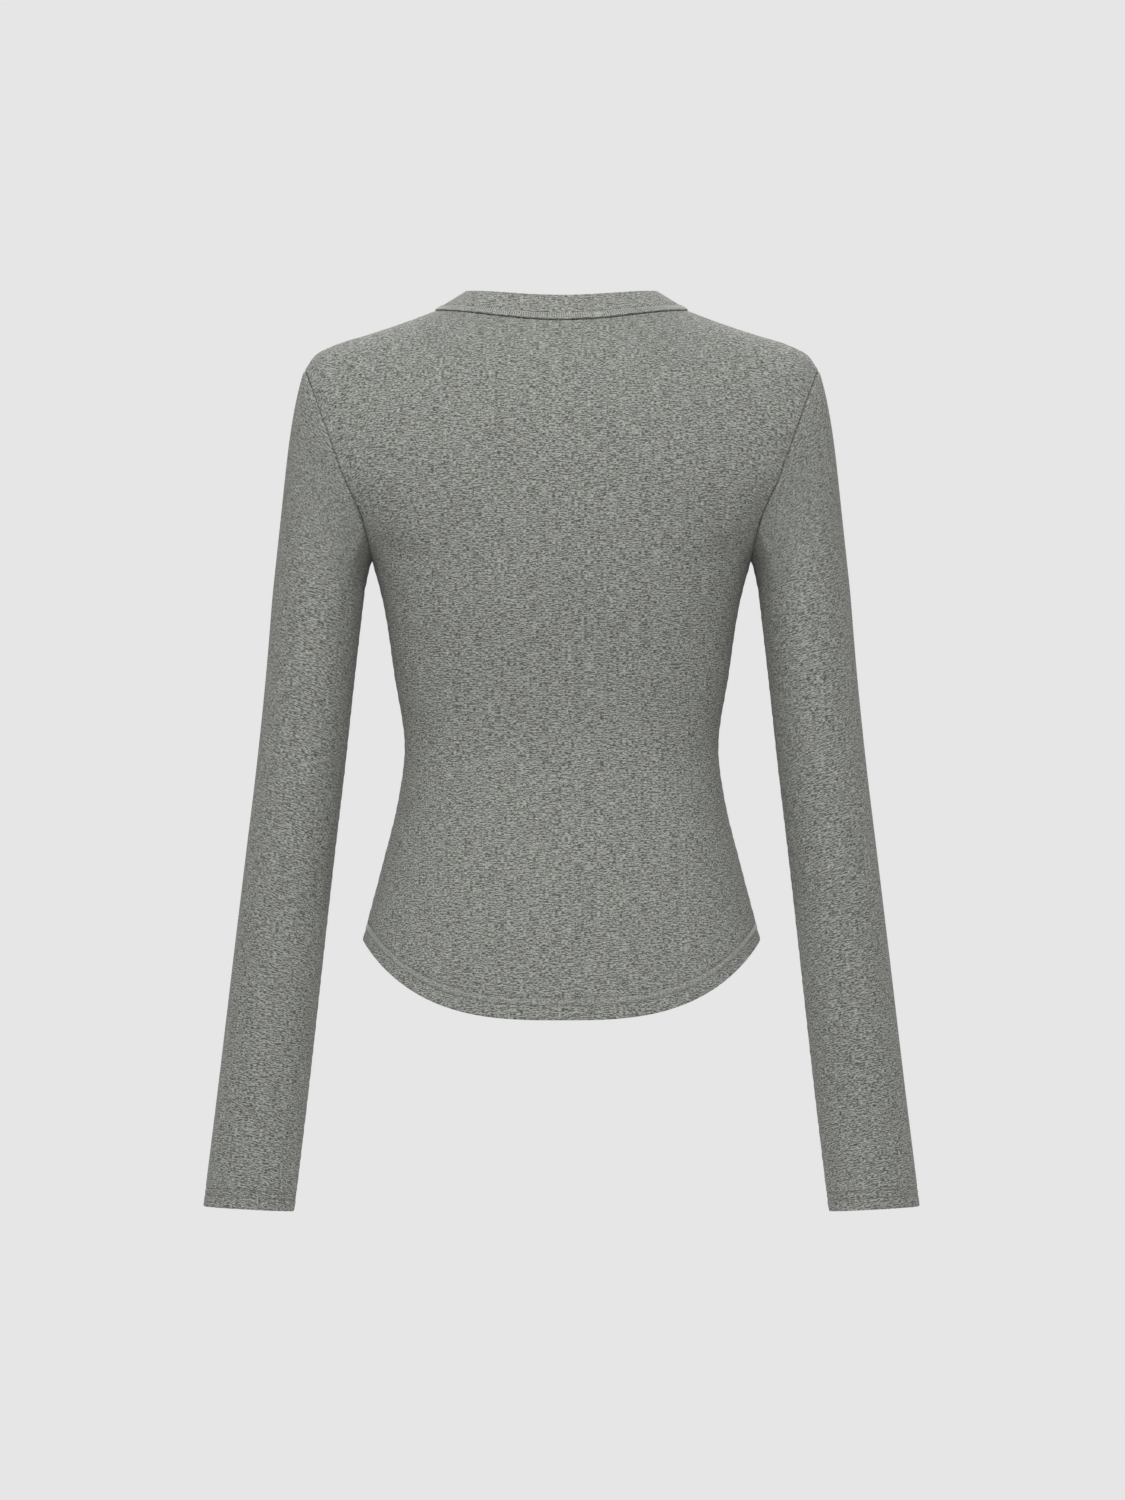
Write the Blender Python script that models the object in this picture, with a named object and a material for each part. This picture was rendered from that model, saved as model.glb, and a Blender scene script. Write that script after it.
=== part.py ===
"""Crew neck cardigan in fine jersey, filled out as if worn, with nobody in it.

The front faces -Y, +X is the wearer's left and +Z is up. The origin is the middle of the neck, level with
the points where the shoulder seams meet the neckband. Every length is in metres.
"""

import math
from collections import namedtuple

import bmesh
import bpy
import numpy as np

# ---- cloth -----------------------------------------------------------------------------------------------

CLOTH = 0.0012  # one layer of jersey
DOUBLE = 2 * CLOTH  # the neckband and the front bands are folded double
SEAM_GAP = 0.0003  # left between two pieces where they are sewn
LAP_GAP = 0.00035  # left between the two front bands where one lies on the other

# ---- the body's sections, from the hem up ----------------------------------------------------------------
# half_width runs to the side seam and, above the armpit, to the armhole seam of the back. back and front
# are the depths of the centre back and the centre front behind and ahead of the side seam.

Level = namedtuple("Level", "name z half_width back front")
BODY_LEVELS = (
    Level("hem", -0.510, 0.1552, 0.1035, 0.104),
    Level("side hem", -0.452, 0.1426, 0.0985, 0.103),
    Level("hip", -0.400, 0.1290, 0.0895, 0.099),
    Level("high hip", -0.350, 0.1168, 0.0796, 0.0938),
    Level("waist", -0.316, 0.1124, 0.0765, 0.0945),
    Level("ribs", -0.260, 0.1198, 0.0850, 0.1060),
    Level("bust", -0.205, 0.1286, 0.0965, 0.1200),
    Level("armpit", -0.1765, 0.1362, 0.0990, 0.1205),
    Level("low armhole", -0.148, 0.1432, 0.1000, 0.1170),
    Level("yoke", -0.118, 0.1570, 0.0990, 0.1100),
)
SECTION_POWER = 2.3  # of the superellipse of a section: 2 is an ellipse, more is squarer
HEM_Z = -0.5078  # centre back
FRONT_HEM_Z = -0.4990
HEM_RISE_POWER = 2.55  # how late the curved hem rises on its way to the side seam
ARMPIT_Z = -0.1765
YOKE_Z = -0.118  # the widest level of the armhole, from which the yoke arches over to the shoulder seam
SIDE_HEM_Z = -0.4520
ARMHOLE_BACK = 0.058  # depth of the armhole behind the shoulder seam
ARMHOLE_FRONT = 0.054

# ---- the shoulder seam, from the neck out, in the plane Y = 0 --------------------------------------------

ShoulderPoint = namedtuple("ShoulderPoint", "name x z")
SHOULDER = (
    ShoulderPoint("neck", 0.0900, 0.0012),
    ShoulderPoint("slope", 0.1130, -0.0075),
    ShoulderPoint("middle", 0.1400, -0.0164),
    ShoulderPoint("crown", 0.1638, -0.0238),
    ShoulderPoint("round", 0.1772, -0.0308),
    ShoulderPoint("sleeve", 0.1846, -0.0418),
)
INNER_SHOULDER_SLOPE = 0.35  # of the line that the yoke would follow inside the neck
YOKE_FAN = 0.4  # how much earlier the yoke's outer columns spread than the centre one

# ---- the neck, an oval seen from above: half-width, then depth and height at centre back and front --------

NECK_HALF = SHOULDER[0].x
NECK_SIDE_Z = SHOULDER[0].z
NECK_BACK = 0.062
NECK_BACK_Z = -0.0060
NECK_FRONT = 0.082
NECK_FRONT_Z = -0.078
BAND_TOP_HALF = 0.0675
BAND_TOP_SIDE_Z = 0.0152
BAND_TOP_BACK = 0.044
BAND_TOP_BACK_Z = 0.0118
BAND_TOP_FRONT = 0.065
BAND_TOP_FRONT_Z = -0.0595
BACK_DIP_POWER = 4  # the back neckline is level near the shoulders and dips late
FRONT_DIP_POWER = 1.5

# ---- the front bands and buttons -------------------------------------------------------------------------

BAND_HALF = 0.010
LAP = DOUBLE + LAP_GAP  # how far the buttonhole band lies outside the button band
LAP_RAMP = 0.028  # the width over which the wearer's right front rises to that height
BUTTONS = 7
TOP_BUTTON_Z = (NECK_FRONT_Z + BAND_TOP_FRONT_Z) / 2
LOW_BUTTON_Z = FRONT_HEM_Z + 0.040
BUTTON_RADIUS = 0.0055
BUTTON_THICK = 0.0022
BUTTON_SIDES = 20
ButtonTurn = namedtuple("ButtonTurn", "name radius height")  # as shares of the radius and the thickness
BUTTON_PROFILE = (
    ButtonTurn("middle of the back", 0.0, 0.0),
    ButtonTurn("foot", 0.80, 0.0),
    ButtonTurn("widest", 1.0, 0.45),
    ButtonTurn("rim", 0.88, 1.0),
    ButtonTurn("edge of the hollow", 0.68, 0.78),
    ButtonTurn("middle of the front", 0.0, 0.78),
)

# ---- the sleeves, from the armpit down -------------------------------------------------------------------

SleeveLevel = namedtuple("SleeveLevel", "name z centre_x half_width centre_y half_depth")
SLEEVE_LEVELS = (
    SleeveLevel("upper arm", -0.205, 0.1752, 0.0324, 0.000, 0.0490),
    SleeveLevel("biceps", -0.260, 0.1806, 0.0315, 0.001, 0.0460),
    SleeveLevel("above elbow", -0.330, 0.1880, 0.0313, 0.002, 0.0420),
    SleeveLevel("elbow", -0.390, 0.1952, 0.0314, 0.001, 0.0400),
    SleeveLevel("forearm", -0.460, 0.2034, 0.0317, -0.005, 0.0380),
    SleeveLevel("wrist", -0.560, 0.2150, 0.0321, -0.016, 0.0350),
    SleeveLevel("cuff", -0.6455, 0.2255, 0.0323, -0.026, 0.0335),
)
CUFF_TILT = 0.056  # rise of the cuff's edge for each metre outwards
CAP_FULLNESS = 0.9  # how strongly the sleeve carries on from the body before it turns down the arm
TOP_FULLNESS = 0.12  # the same at the shoulder point
CREASE_FROM = 0.4  # how far under the arm, 0 to 1, the sleeve starts to fold at its seam
CREASE_POWER = 0.5  # less than 1: most of the fold comes early
UNDERARM_SWELL = np.array([0.9, 0.0, 0.35])  # pushes the sleeve out just under the armpit
SWELL_POWER = 8  # keeps that push to the armpit itself

# ---- how finely the cloth is divided ---------------------------------------------------------------------

COLUMNS = 14  # from a panel's centre line to its side seam
NECK_COLUMNS = 8  # of them, those that end at the neckline
BODY_ROWS = 9  # from the hem to the armpit
ARMHOLE_ROWS = 5  # from the armpit to the yoke
YOKE_ROWS = 7  # from the yoke to the shoulder seam
CAP_RINGS = 5  # of the sleeve, from the armhole to the armpit's level
ARM_RINGS = 11  # from there to the cuff
SMALL_STEP = 0.001  # for slopes that are measured between two near levels
SHARPEST_MITRE = 0.3  # limits how far a corner of a piece moves when its edges are drawn in

# ---- colours: Principled BSDF base colour, roughness -----------------------------------------------------

JERSEY_GREY = (0.262, 0.268, 0.245, 1.0)
BUTTON_GREY = (0.110, 0.112, 0.105, 1.0)


def curve_through(stations, values):
    """A smooth curve through a table's values, as a function of the station."""
    order = np.argsort(stations)
    at = np.array(stations, float)[order]
    value = np.array(values, float)[order]
    slope = np.gradient(value, at)

    def evaluate(x):
        x = np.clip(x, at[0], at[-1])
        i = np.clip(np.searchsorted(at, x) - 1, 0, len(at) - 2)
        span = at[i + 1] - at[i]
        t = (x - at[i]) / span
        rise = t * t * (3 - 2 * t)
        start = t * (1 - t) ** 2 * span * slope[i]
        end = t * t * (t - 1) * span * slope[i + 1]
        return value[i] + rise * (value[i + 1] - value[i]) + start + end

    return evaluate


def column(table, name):
    return [getattr(row, name) for row in table]


def unit(vectors):
    return vectors / np.maximum(np.linalg.norm(vectors, axis=-1, keepdims=True), 1e-12)


body_z = column(BODY_LEVELS, "z")
half_width_at = curve_through(body_z, column(BODY_LEVELS, "half_width"))
back_depth_at = curve_through(body_z, column(BODY_LEVELS, "back"))
front_depth_at = curve_through(body_z, column(BODY_LEVELS, "front"))
ridge_z_at = curve_through(column(SHOULDER, "x"), column(SHOULDER, "z"))

# ---- the body's form -------------------------------------------------------------------------------------


def section_of(side, z):
    """(reach, depth, turn) of the body's section at z: the superellipse's half-axes, and the angle at which
    the panel ends. side is 1 for the back and -1 for the front."""
    edge_x = half_width_at(z)
    depth = back_depth_at(z) if side > 0 else front_depth_at(z)
    armhole = ARMHOLE_BACK if side > 0 else ARMHOLE_FRONT
    below_yoke = np.clip((YOKE_Z - z) / (YOKE_Z - ARMPIT_Z), 0, 1)
    edge_y = armhole * np.sqrt(1 - below_yoke**2)
    reach = edge_x / (1 - (edge_y / depth) ** SECTION_POWER) ** (1 / SECTION_POWER)
    turn = np.arcsin(np.clip((edge_x / reach) ** (SECTION_POWER / 2), 0, 1))
    return reach, depth, turn


def body_point(side, share, z, first_x=0.0):
    """The body's point at height z, a share of the way from the centre line (or first_x) to the edge."""
    reach, depth, turn = section_of(side, z)
    first = np.arcsin((first_x / reach) ** (SECTION_POWER / 2))
    angle = first + (turn - first) * share
    x = reach * np.sin(angle) ** (2 / SECTION_POWER)
    y = side * depth * np.maximum(np.cos(angle), 0) ** (2 / SECTION_POWER)
    return np.stack([x, y, z + 0 * x], axis=-1)


def hem_z(side, share):
    """Height of the curved hem, a share of the way from the centre line to the side seam."""
    lowest = HEM_Z if side > 0 else FRONT_HEM_Z
    return lowest + (SIDE_HEM_Z - lowest) * np.sin(share * math.pi / 2) ** HEM_RISE_POWER


def neckline(side, around):
    """The seam of the neckband at the angle around, from 0 at the centre line to a right angle at the
    shoulder."""
    depth, low = (NECK_BACK, NECK_BACK_Z) if side > 0 else (NECK_FRONT, NECK_FRONT_Z)
    power = BACK_DIP_POWER if side > 0 else FRONT_DIP_POWER
    cosine = np.maximum(np.cos(around), 0)
    z = NECK_SIDE_Z + (low - NECK_SIDE_Z) * cosine**power
    return np.stack([NECK_HALF * np.sin(around), side * depth * cosine, z], axis=-1)


def band_top(side, around):
    """The neckband's free edge at the same angle."""
    depth, low = (BAND_TOP_BACK, BAND_TOP_BACK_Z) if side > 0 else (BAND_TOP_FRONT, BAND_TOP_FRONT_Z)
    power = BACK_DIP_POWER if side > 0 else FRONT_DIP_POWER
    cosine = np.maximum(np.cos(around), 0)
    z = BAND_TOP_SIDE_Z + (low - BAND_TOP_SIDE_Z) * cosine**power
    return np.stack([BAND_TOP_HALF * np.sin(around), side * depth * cosine, z], axis=-1)


def shoulder_seam(along):
    """The shoulder seam's point a share of its length from the neck."""
    x, z = np.array(column(SHOULDER, "x")), np.array(column(SHOULDER, "z"))
    length = np.concatenate([[0], np.cumsum(np.hypot(np.diff(x), np.diff(z)))])
    at = along * length[-1]
    return np.stack([curve_through(length, x)(at), 0 * at, curve_through(length, z)(at)], axis=-1)


def inner_ridge(x):
    """Height of the shoulder seam's line, carried on inside the neck."""
    inside = NECK_SIDE_Z + INNER_SHOULDER_SLOPE * (NECK_HALF - x)
    return np.where(x < NECK_HALF, inside, ridge_z_at(np.maximum(x, NECK_HALF)))


def yoke_column(side, share, top, over_shoulder, first_x):
    """Points of one column of the yoke, from the yoke's level to top, which lies on the neckline or on the
    shoulder seam. over_shoulder is 0 at the neck's side and 1 at the armhole."""
    foot = body_point(side, share, YOKE_Z, first_x)
    below = body_point(side, share, YOKE_Z - SMALL_STEP, first_x)
    lean = (foot[1] - below[1]) / SMALL_STEP

    def depth_at(z):
        return foot[1] + lean * (z - YOKE_Z)

    sine = np.clip(top[1] / depth_at(top[2]), 0, 1)
    first = math.asin(sine)
    peak = YOKE_Z + (top[2] - YOKE_Z) / math.cos(first)
    angle = np.linspace(math.pi / 2, first, YOKE_ROWS + 1)[1:]
    fan = np.clip((np.sin(angle) - sine) / (1 - sine), 0, 1) ** (1 - YOKE_FAN * share)
    fall = (math.cos(first) - np.cos(angle)) / math.cos(first)
    x = top[0] + (foot[0] - top[0]) * ((1 - over_shoulder) * fan + over_shoulder * fall)
    arch = peak + (1 - over_shoulder) * (inner_ridge(x) - inner_ridge(top[0]))
    z = YOKE_Z + (arch - YOKE_Z) * np.cos(angle)
    return np.stack([x, depth_at(z) * np.sin(angle), z], axis=-1)


def half_panel(side, first_x=0.0):
    """Grid of points of half a panel: a row for each level from the hem to the top edge, a column for each
    share from the centre line, or first_x, out to the side seam and the armhole."""
    share = np.linspace(0, 1, COLUMNS + 1)
    hem = hem_z(side, share)
    rows = []
    for step in range(BODY_ROWS):
        z = hem + (ARMPIT_Z - hem) * step / BODY_ROWS
        rows.append(body_point(side, share, z, first_x))
    for step in range(ARMHOLE_ROWS + 1):
        z = YOKE_Z + (ARMPIT_Z - YOKE_Z) * math.cos(math.pi / 2 * step / ARMHOLE_ROWS)
        rows.append(body_point(side, share, z, first_x))
    first_around = math.asin(first_x / NECK_HALF)
    yoke = []
    for j in range(COLUMNS + 1):
        if j < NECK_COLUMNS:
            around = first_around + (math.pi / 2 - first_around) * j / NECK_COLUMNS
            top = neckline(side, around)
        else:
            top = shoulder_seam((j - NECK_COLUMNS) / (COLUMNS - NECK_COLUMNS))
        over_shoulder = max(0.0, (j - NECK_COLUMNS) / (COLUMNS - NECK_COLUMNS))
        yoke.append(yoke_column(side, share[j], top, over_shoulder, first_x))
    rows.extend(np.stack(yoke, axis=1))
    return np.array(rows)


def mirrored(grid):
    """The grid on the other side of the body, with its columns still from -X to +X."""
    return (grid * (-1, 1, 1))[:, ::-1]


# ---- from a grid of points to a wall of cloth ------------------------------------------------------------


class Piece:
    """One cut piece: its name, the grid of its middle surface, its thickness, and which side is outside."""

    def __init__(self, name, grid, thick=CLOTH, outward=1, round_it=False):
        self.name = name
        self.grid = grid
        self.thick = thick
        self.round_it = round_it
        along = np.gradient(grid, axis=0)
        if round_it:
            across = (np.roll(grid, -1, axis=1) - np.roll(grid, 1, axis=1)) / 2
        else:
            across = np.gradient(grid, axis=1)
        self.normals = unit(np.cross(across, along)) * outward

    def edge_loops(self):
        """Index lists of the grid's border: one loop, or the two ends of a tube."""
        rows, columns = self.grid.shape[:2]
        if self.round_it:
            return [[(0, j) for j in range(columns)], [(rows - 1, j) for j in reversed(range(columns))]]
        loop = [(0, j) for j in range(columns - 1)]
        loop += [(i, columns - 1) for i in range(rows - 1)]
        loop += [(rows - 1, j) for j in range(columns - 1, 0, -1)]
        loop += [(i, 0) for i in range(rows - 1, 0, -1)]
        return [loop]


def seam_key(piece, ij):
    """What the points of two pieces share where they are sewn to each other."""
    return tuple(np.round(piece.grid[ij], 6) + 0.0)


def share_edge_normals(pieces):
    """Gives pieces that meet at a seam one normal there, so that their edges face each other squarely.

    Where three pieces meet, at a sleeve's shoulder point and armpit, it is the mean of those beside it."""
    total = {}
    borders = [(p, ij) for p in pieces for loop in p.edge_loops() for ij in loop]
    for piece, ij in borders:
        key = seam_key(piece, ij)
        total[key] = total.get(key, 0) + piece.normals[ij]
    for piece in (p for p in pieces if p.round_it):
        keys = [seam_key(piece, ij) for ij in piece.edge_loops()[0]]
        shoulder_point, armpit = 0, ARMHOLE_ROWS + YOKE_ROWS
        for where in (shoulder_point, armpit):
            before, after = keys[where - 1], keys[(where + 1) % len(keys)]
            total[keys[where]] = unit(total[before]) + unit(total[after])
    for piece, ij in borders:
        piece.normals[ij] = unit(total[seam_key(piece, ij)])


def draw_in_edges(piece, gap):
    """Moves the piece's border inwards by gap, within its own surface."""
    moved = piece.grid.copy()
    middle = 1 if piece.round_it else piece.grid.shape[1] // 2
    for loop in piece.edge_loops():
        points = np.array([piece.grid[ij] for ij in loop])
        normals = np.array([piece.normals[ij] for ij in loop])
        ahead = unit(np.roll(points, -1, axis=0) - points)
        behind = np.roll(ahead, 1, axis=0)
        inward = [unit(np.cross(normals, step)) for step in (behind, ahead)]
        inner_row = 1 if loop[0][0] == 0 else piece.grid.shape[0] - 2
        here = loop.index((loop[0][0], middle))
        way = np.sign((piece.grid[inner_row, middle] - points[here]) @ inward[1][here])
        corner = 1 + np.sum(inward[0] * inward[1], axis=1, keepdims=True)
        shift = way * gap * (inward[0] + inward[1]) / np.maximum(corner, SHARPEST_MITRE)
        for ij, step in zip(loop, shift):
            moved[ij] += step
    piece.grid = moved


def cloth_wall(piece, material):
    """The piece as a closed solid: its grid moved out and in by half its thickness, joined round the edge."""
    rows, columns = piece.grid.shape[:2]
    mesh = bmesh.new()
    faces = []
    for way in (0.5, -0.5):
        points = piece.grid + way * piece.thick * piece.normals
        faces.append([[mesh.verts.new(point) for point in row] for row in points])
    outer, inner = faces
    spans = columns if piece.round_it else columns - 1
    for i in range(rows - 1):
        for j in range(spans):
            k = (j + 1) % columns
            mesh.faces.new((outer[i][j], outer[i][k], outer[i + 1][k], outer[i + 1][j]))
            mesh.faces.new((inner[i][j], inner[i + 1][j], inner[i + 1][k], inner[i][k]))
    for loop in piece.edge_loops():
        for here, there in zip(loop, loop[1:] + loop[:1]):
            (i, j), (k, m) = here, there
            mesh.faces.new((outer[k][m], outer[i][j], inner[i][j], inner[k][m]))
    bmesh.ops.triangulate(mesh, faces=mesh.faces, quad_method="SHORT_EDGE")
    bmesh.ops.recalc_face_normals(mesh, faces=mesh.faces)
    return named_object(piece.name, mesh, material)


def named_object(name, mesh, material):
    """The mesh as an object of the scene, smooth but for its sharp edges."""
    data = bpy.data.meshes.new(name)
    mesh.to_mesh(data)
    mesh.free()
    data.materials.append(material)
    data.shade_smooth()
    data.set_sharp_from_angle(angle=math.radians(40))
    made = bpy.data.objects.new(name, data)
    bpy.context.scene.collection.objects.link(made)
    return made


def plain_material(name, colour, roughness):
    material = bpy.data.materials.new(name)
    material.use_nodes = True
    shader = material.node_tree.nodes["Principled BSDF"]
    shader.inputs["Base Color"].default_value = colour
    shader.inputs["Roughness"].default_value = roughness
    shader.inputs["Metallic"].default_value = 0.0
    material.diffuse_color = colour
    return material


# ---- the pieces ------------------------------------------------------------------------------------------


def lap_height(x):
    """How far the wearer's right front stands out at x, to lie on the button band."""
    t = np.clip((x + BAND_HALF + LAP_RAMP) / LAP_RAMP, 0, 1)
    return LAP * t * t * (3 - 2 * t)


def lift(piece, columns=slice(None)):
    """Raises these columns of a piece to lie over the button band."""
    height = lap_height(piece.grid[:, columns, 0])
    piece.grid[:, columns] += height[..., None] * piece.normals[:, columns]


def front_band_grid(front):
    """Grid of a front band, from -BAND_HALF to BAND_HALF, whose rows are those of the front beside it."""
    edge = front[:, 0]
    middle = edge.copy()
    middle[:, 0] = 0
    middle[0, 2] = FRONT_HEM_Z
    middle[-1, 1:] = neckline(-1, 0.0)[1:]
    return np.stack([edge * (-1, 1, 1), middle, edge], axis=1)


def neckband_grid():
    """Grid of the neckband: from the wearer's left end, under, round the back to the right end, on top."""
    first = math.asin(BAND_HALF / NECK_HALF)
    quarter = np.linspace(0, math.pi / 2, NECK_COLUMNS + 1)
    front = np.concatenate([[-first, 0.0], np.linspace(first, math.pi / 2, NECK_COLUMNS + 1)])
    rows = []
    for share in (0.0, 0.5, 1.0):
        left = (1 - share) * neckline(-1, front) + share * band_top(-1, front)
        back = (1 - share) * neckline(1, quarter) + share * band_top(1, quarter)
        half = np.concatenate([left, back[::-1][1:]])
        other = (half * (-1, 1, 1))[::-1][1:]
        rows.append(np.concatenate([half, other]))
    return np.array(rows)


def sleeve_grid(back, front):
    """Grid of the wearer's left sleeve: rings from the armhole to the cuff, each from the shoulder point
    round the back, the armpit and the front."""
    first = BODY_ROWS
    back_seam, front_seam = back[first:, -1][::-1], front[first:, -1]
    armhole = np.concatenate([back_seam, front_seam[1:-1]])
    body_normals = np.concatenate([edge_normals(back)[first:][::-1], -edge_normals(front)[first:][1:-1]])
    upper = np.linspace(0, math.pi / 2, YOKE_ROWS + 1)
    lower = np.linspace(math.pi / 2, math.pi, ARMHOLE_ROWS + 1)[1:]
    half_turn = np.concatenate([upper, lower])
    around = np.concatenate([half_turn, 2 * math.pi - half_turn[1:-1][::-1]])
    tables = {
        name: curve_through(column(SLEEVE_LEVELS, "z"), column(SLEEVE_LEVELS, name))
        for name in ("centre_x", "half_width", "centre_y", "half_depth")
    }
    top, cuff = SLEEVE_LEVELS[0].z, SLEEVE_LEVELS[-1].z

    def ring(z):
        out = tables["half_width"](z) * np.cos(around)
        tilt = CUFF_TILT * (top - z) / (top - cuff)
        x = tables["centre_x"](z) + out
        y = tables["centre_y"](z) + tables["half_depth"](z) * np.sin(around)
        return np.stack([x, y, z + tilt * out], axis=-1)

    arm = [ring(z) for z in np.linspace(top, cuff, ARM_RINGS + 1)]
    down = unit(arm[1].mean(axis=0) - arm[0].mean(axis=0))
    along_seam = unit(np.roll(armhole, -1, axis=0) - np.roll(armhole, 1, axis=0))
    leave = unit(np.cross(along_seam, body_normals))
    leave *= np.sign(np.sum(leave * (arm[0] - armhole), axis=1, keepdims=True))
    under = ((1 - np.cos(around)) / 2)[:, None]
    chord = arm[0] - armhole
    distance = np.linalg.norm(chord, axis=1, keepdims=True)
    crease = np.clip((under - CREASE_FROM) / (1 - CREASE_FROM), 0, 1) ** CREASE_POWER
    leave = unit(leave * (1 - crease) + chord / distance * crease + UNDERARM_SWELL * under**SWELL_POWER)
    side_on = np.abs(np.sin(around))[:, None]
    reach = distance * (TOP_FULLNESS + (CAP_FULLNESS - TOP_FULLNESS) * side_on)
    cap = []
    for t in np.linspace(0, 1, CAP_RINGS + 1)[:-1]:
        rise = t * t * (3 - 2 * t)
        start = t * (1 - t) ** 2 * reach * leave
        end = t * t * (t - 1) * distance * CAP_FULLNESS * down
        cap.append(armhole * (1 - rise) + arm[0] * rise + start + end)
    return np.array(cap + arm)


def edge_normals(grid):
    """The normals along a half panel's side edge."""
    along = np.gradient(grid, axis=0)[:, -1]
    across = grid[:, -1] - grid[:, -2]
    return unit(np.cross(along, across))


def build_cloth(material):
    back_half = half_panel(1)
    front_half = half_panel(-1, BAND_HALF)
    back = np.concatenate([mirrored(back_half), back_half[:, 1:]], axis=1)
    sleeve = sleeve_grid(back_half, front_half)
    band = front_band_grid(front_half)
    pieces = {
        "back": Piece("back", back, outward=-1),
        "front_left": Piece("front_left", front_half),
        "front_right": Piece("front_right", mirrored(front_half)),
        "sleeve_left": Piece("sleeve_left", sleeve, outward=-1, round_it=True),
        "sleeve_right": Piece("sleeve_right", sleeve * (-1, 1, 1), round_it=True),
        "neckband": Piece("neckband", neckband_grid(), DOUBLE),
        "button_band": Piece("button_band", band, DOUBLE),
        "buttonhole_band": Piece("buttonhole_band", band.copy(), DOUBLE),
    }
    share_edge_normals(pieces.values())
    lift(pieces["front_right"])
    lift(pieces["buttonhole_band"])
    lift(pieces["neckband"], slice(-NECK_COLUMNS - 3, None))
    for piece in pieces.values():
        draw_in_edges(piece, SEAM_GAP / 2)
        cloth_wall(piece, material)
    return pieces


def centre_profile(pieces):
    """Points (y, z) down the outside of the overlapped ends at the centre front: neckband, then band."""
    points = []
    for name, column_index in (("neckband", -2), ("buttonhole_band", 1)):
        piece = pieces[name]
        outer = (piece.grid + piece.normals * piece.thick / 2)[:, column_index, 1:]
        points.extend(outer[np.argsort(-outer[:, 1])])
    return np.array(points)


def button_solid(name, material):
    """A turned button with its back on the plane Z = 0, hollowed inside its rim."""
    mesh = bmesh.new()
    chain = [mesh.verts.new((t.radius * BUTTON_RADIUS, 0.0, t.height * BUTTON_THICK)) for t in BUTTON_PROFILE]
    edges = [mesh.edges.new(pair) for pair in zip(chain, chain[1:])]
    turn = {"cent": (0, 0, 0), "axis": (0, 0, 1), "angle": 2 * math.pi, "steps": BUTTON_SIDES}
    bmesh.ops.spin(mesh, geom=chain + edges, **turn)
    bmesh.ops.remove_doubles(mesh, verts=mesh.verts, dist=1e-6)
    bmesh.ops.recalc_face_normals(mesh, faces=mesh.faces)
    return named_object(name, mesh, material)


def button_seat(profile, z):
    """(seat, outward) of a button at height z, both as (y, z): it lies along the cloth from its upper rim to
    its lower one, just clear of the highest point between them."""
    upwards = profile[::-1]
    rims = [z + BUTTON_RADIUS, z - BUTTON_RADIUS]
    top, low = [np.array([np.interp(rim, upwards[:, 1], upwards[:, 0]), rim]) for rim in rims]
    along = unit(top - low)
    outward = np.array([-along[1], along[0]])
    between = profile[(profile[:, 1] < top[1]) & (profile[:, 1] > low[1])]
    highest = max([0.0] + [float((point - top) @ outward) for point in between])
    return (top + low) / 2 + outward * (highest + SEAM_GAP), outward


def build_buttons(pieces, material):
    """The buttons down the centre front, the first of them on the neckband."""
    profile = centre_profile(pieces)
    for index, z in enumerate(np.linspace(TOP_BUTTON_Z, LOW_BUTTON_Z, BUTTONS)):
        seat, outward = button_seat(profile, z)
        button = button_solid(f"button_{index + 1}", material)
        button.location = (0.0, seat[0], seat[1])
        button.rotation_euler = (math.atan2(-outward[0], outward[1]), 0.0, 0.0)


def main():
    for old in list(bpy.data.objects):
        bpy.data.objects.remove(old)
    cloth = plain_material("heather jersey", JERSEY_GREY, 0.9)
    dark_plastic = plain_material("button", BUTTON_GREY, 0.35)
    pieces = build_cloth(cloth)
    build_buttons(pieces, dark_plastic)


main()
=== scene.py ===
"""Crew neck cardigan in heather grey jersey: the looks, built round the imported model.

The front faces -Y, +X is the wearer's left, +Z is up, and the origin is the middle of the neck at the height
of the shoulder seams' inner ends. Lengths are in metres, or in millimetres where a table says so. The form is
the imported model's, worked out again from the same tables at finer cells, with turned hems, rolled seams, soft
creases and stitching added.
"""

import math
from collections import namedtuple

import bmesh
import bpy
import numpy as np
from mathutils import Matrix, Vector

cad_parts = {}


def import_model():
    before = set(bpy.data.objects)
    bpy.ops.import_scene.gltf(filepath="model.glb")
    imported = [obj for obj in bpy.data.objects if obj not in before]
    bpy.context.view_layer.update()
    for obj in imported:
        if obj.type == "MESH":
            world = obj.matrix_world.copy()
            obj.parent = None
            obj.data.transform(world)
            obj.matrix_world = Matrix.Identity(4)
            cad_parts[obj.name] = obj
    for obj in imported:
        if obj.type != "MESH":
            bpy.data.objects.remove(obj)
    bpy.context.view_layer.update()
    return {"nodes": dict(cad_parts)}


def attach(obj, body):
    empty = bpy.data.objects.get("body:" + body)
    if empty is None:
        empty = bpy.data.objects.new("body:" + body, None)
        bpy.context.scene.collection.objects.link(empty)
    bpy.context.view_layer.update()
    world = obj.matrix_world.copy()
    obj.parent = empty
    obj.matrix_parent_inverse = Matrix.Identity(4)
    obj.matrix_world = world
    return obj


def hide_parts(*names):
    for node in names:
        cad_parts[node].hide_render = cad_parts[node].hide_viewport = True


# ---- the body's form ----

CLOTH = 0.0012  # one layer of jersey
DOUBLE = 2 * CLOTH  # the neckband and the front bands are folded double
ARMPIT_Z = -0.1765
YOKE_Z = -0.118
SIDE_HEM_Z = -0.4520

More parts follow.
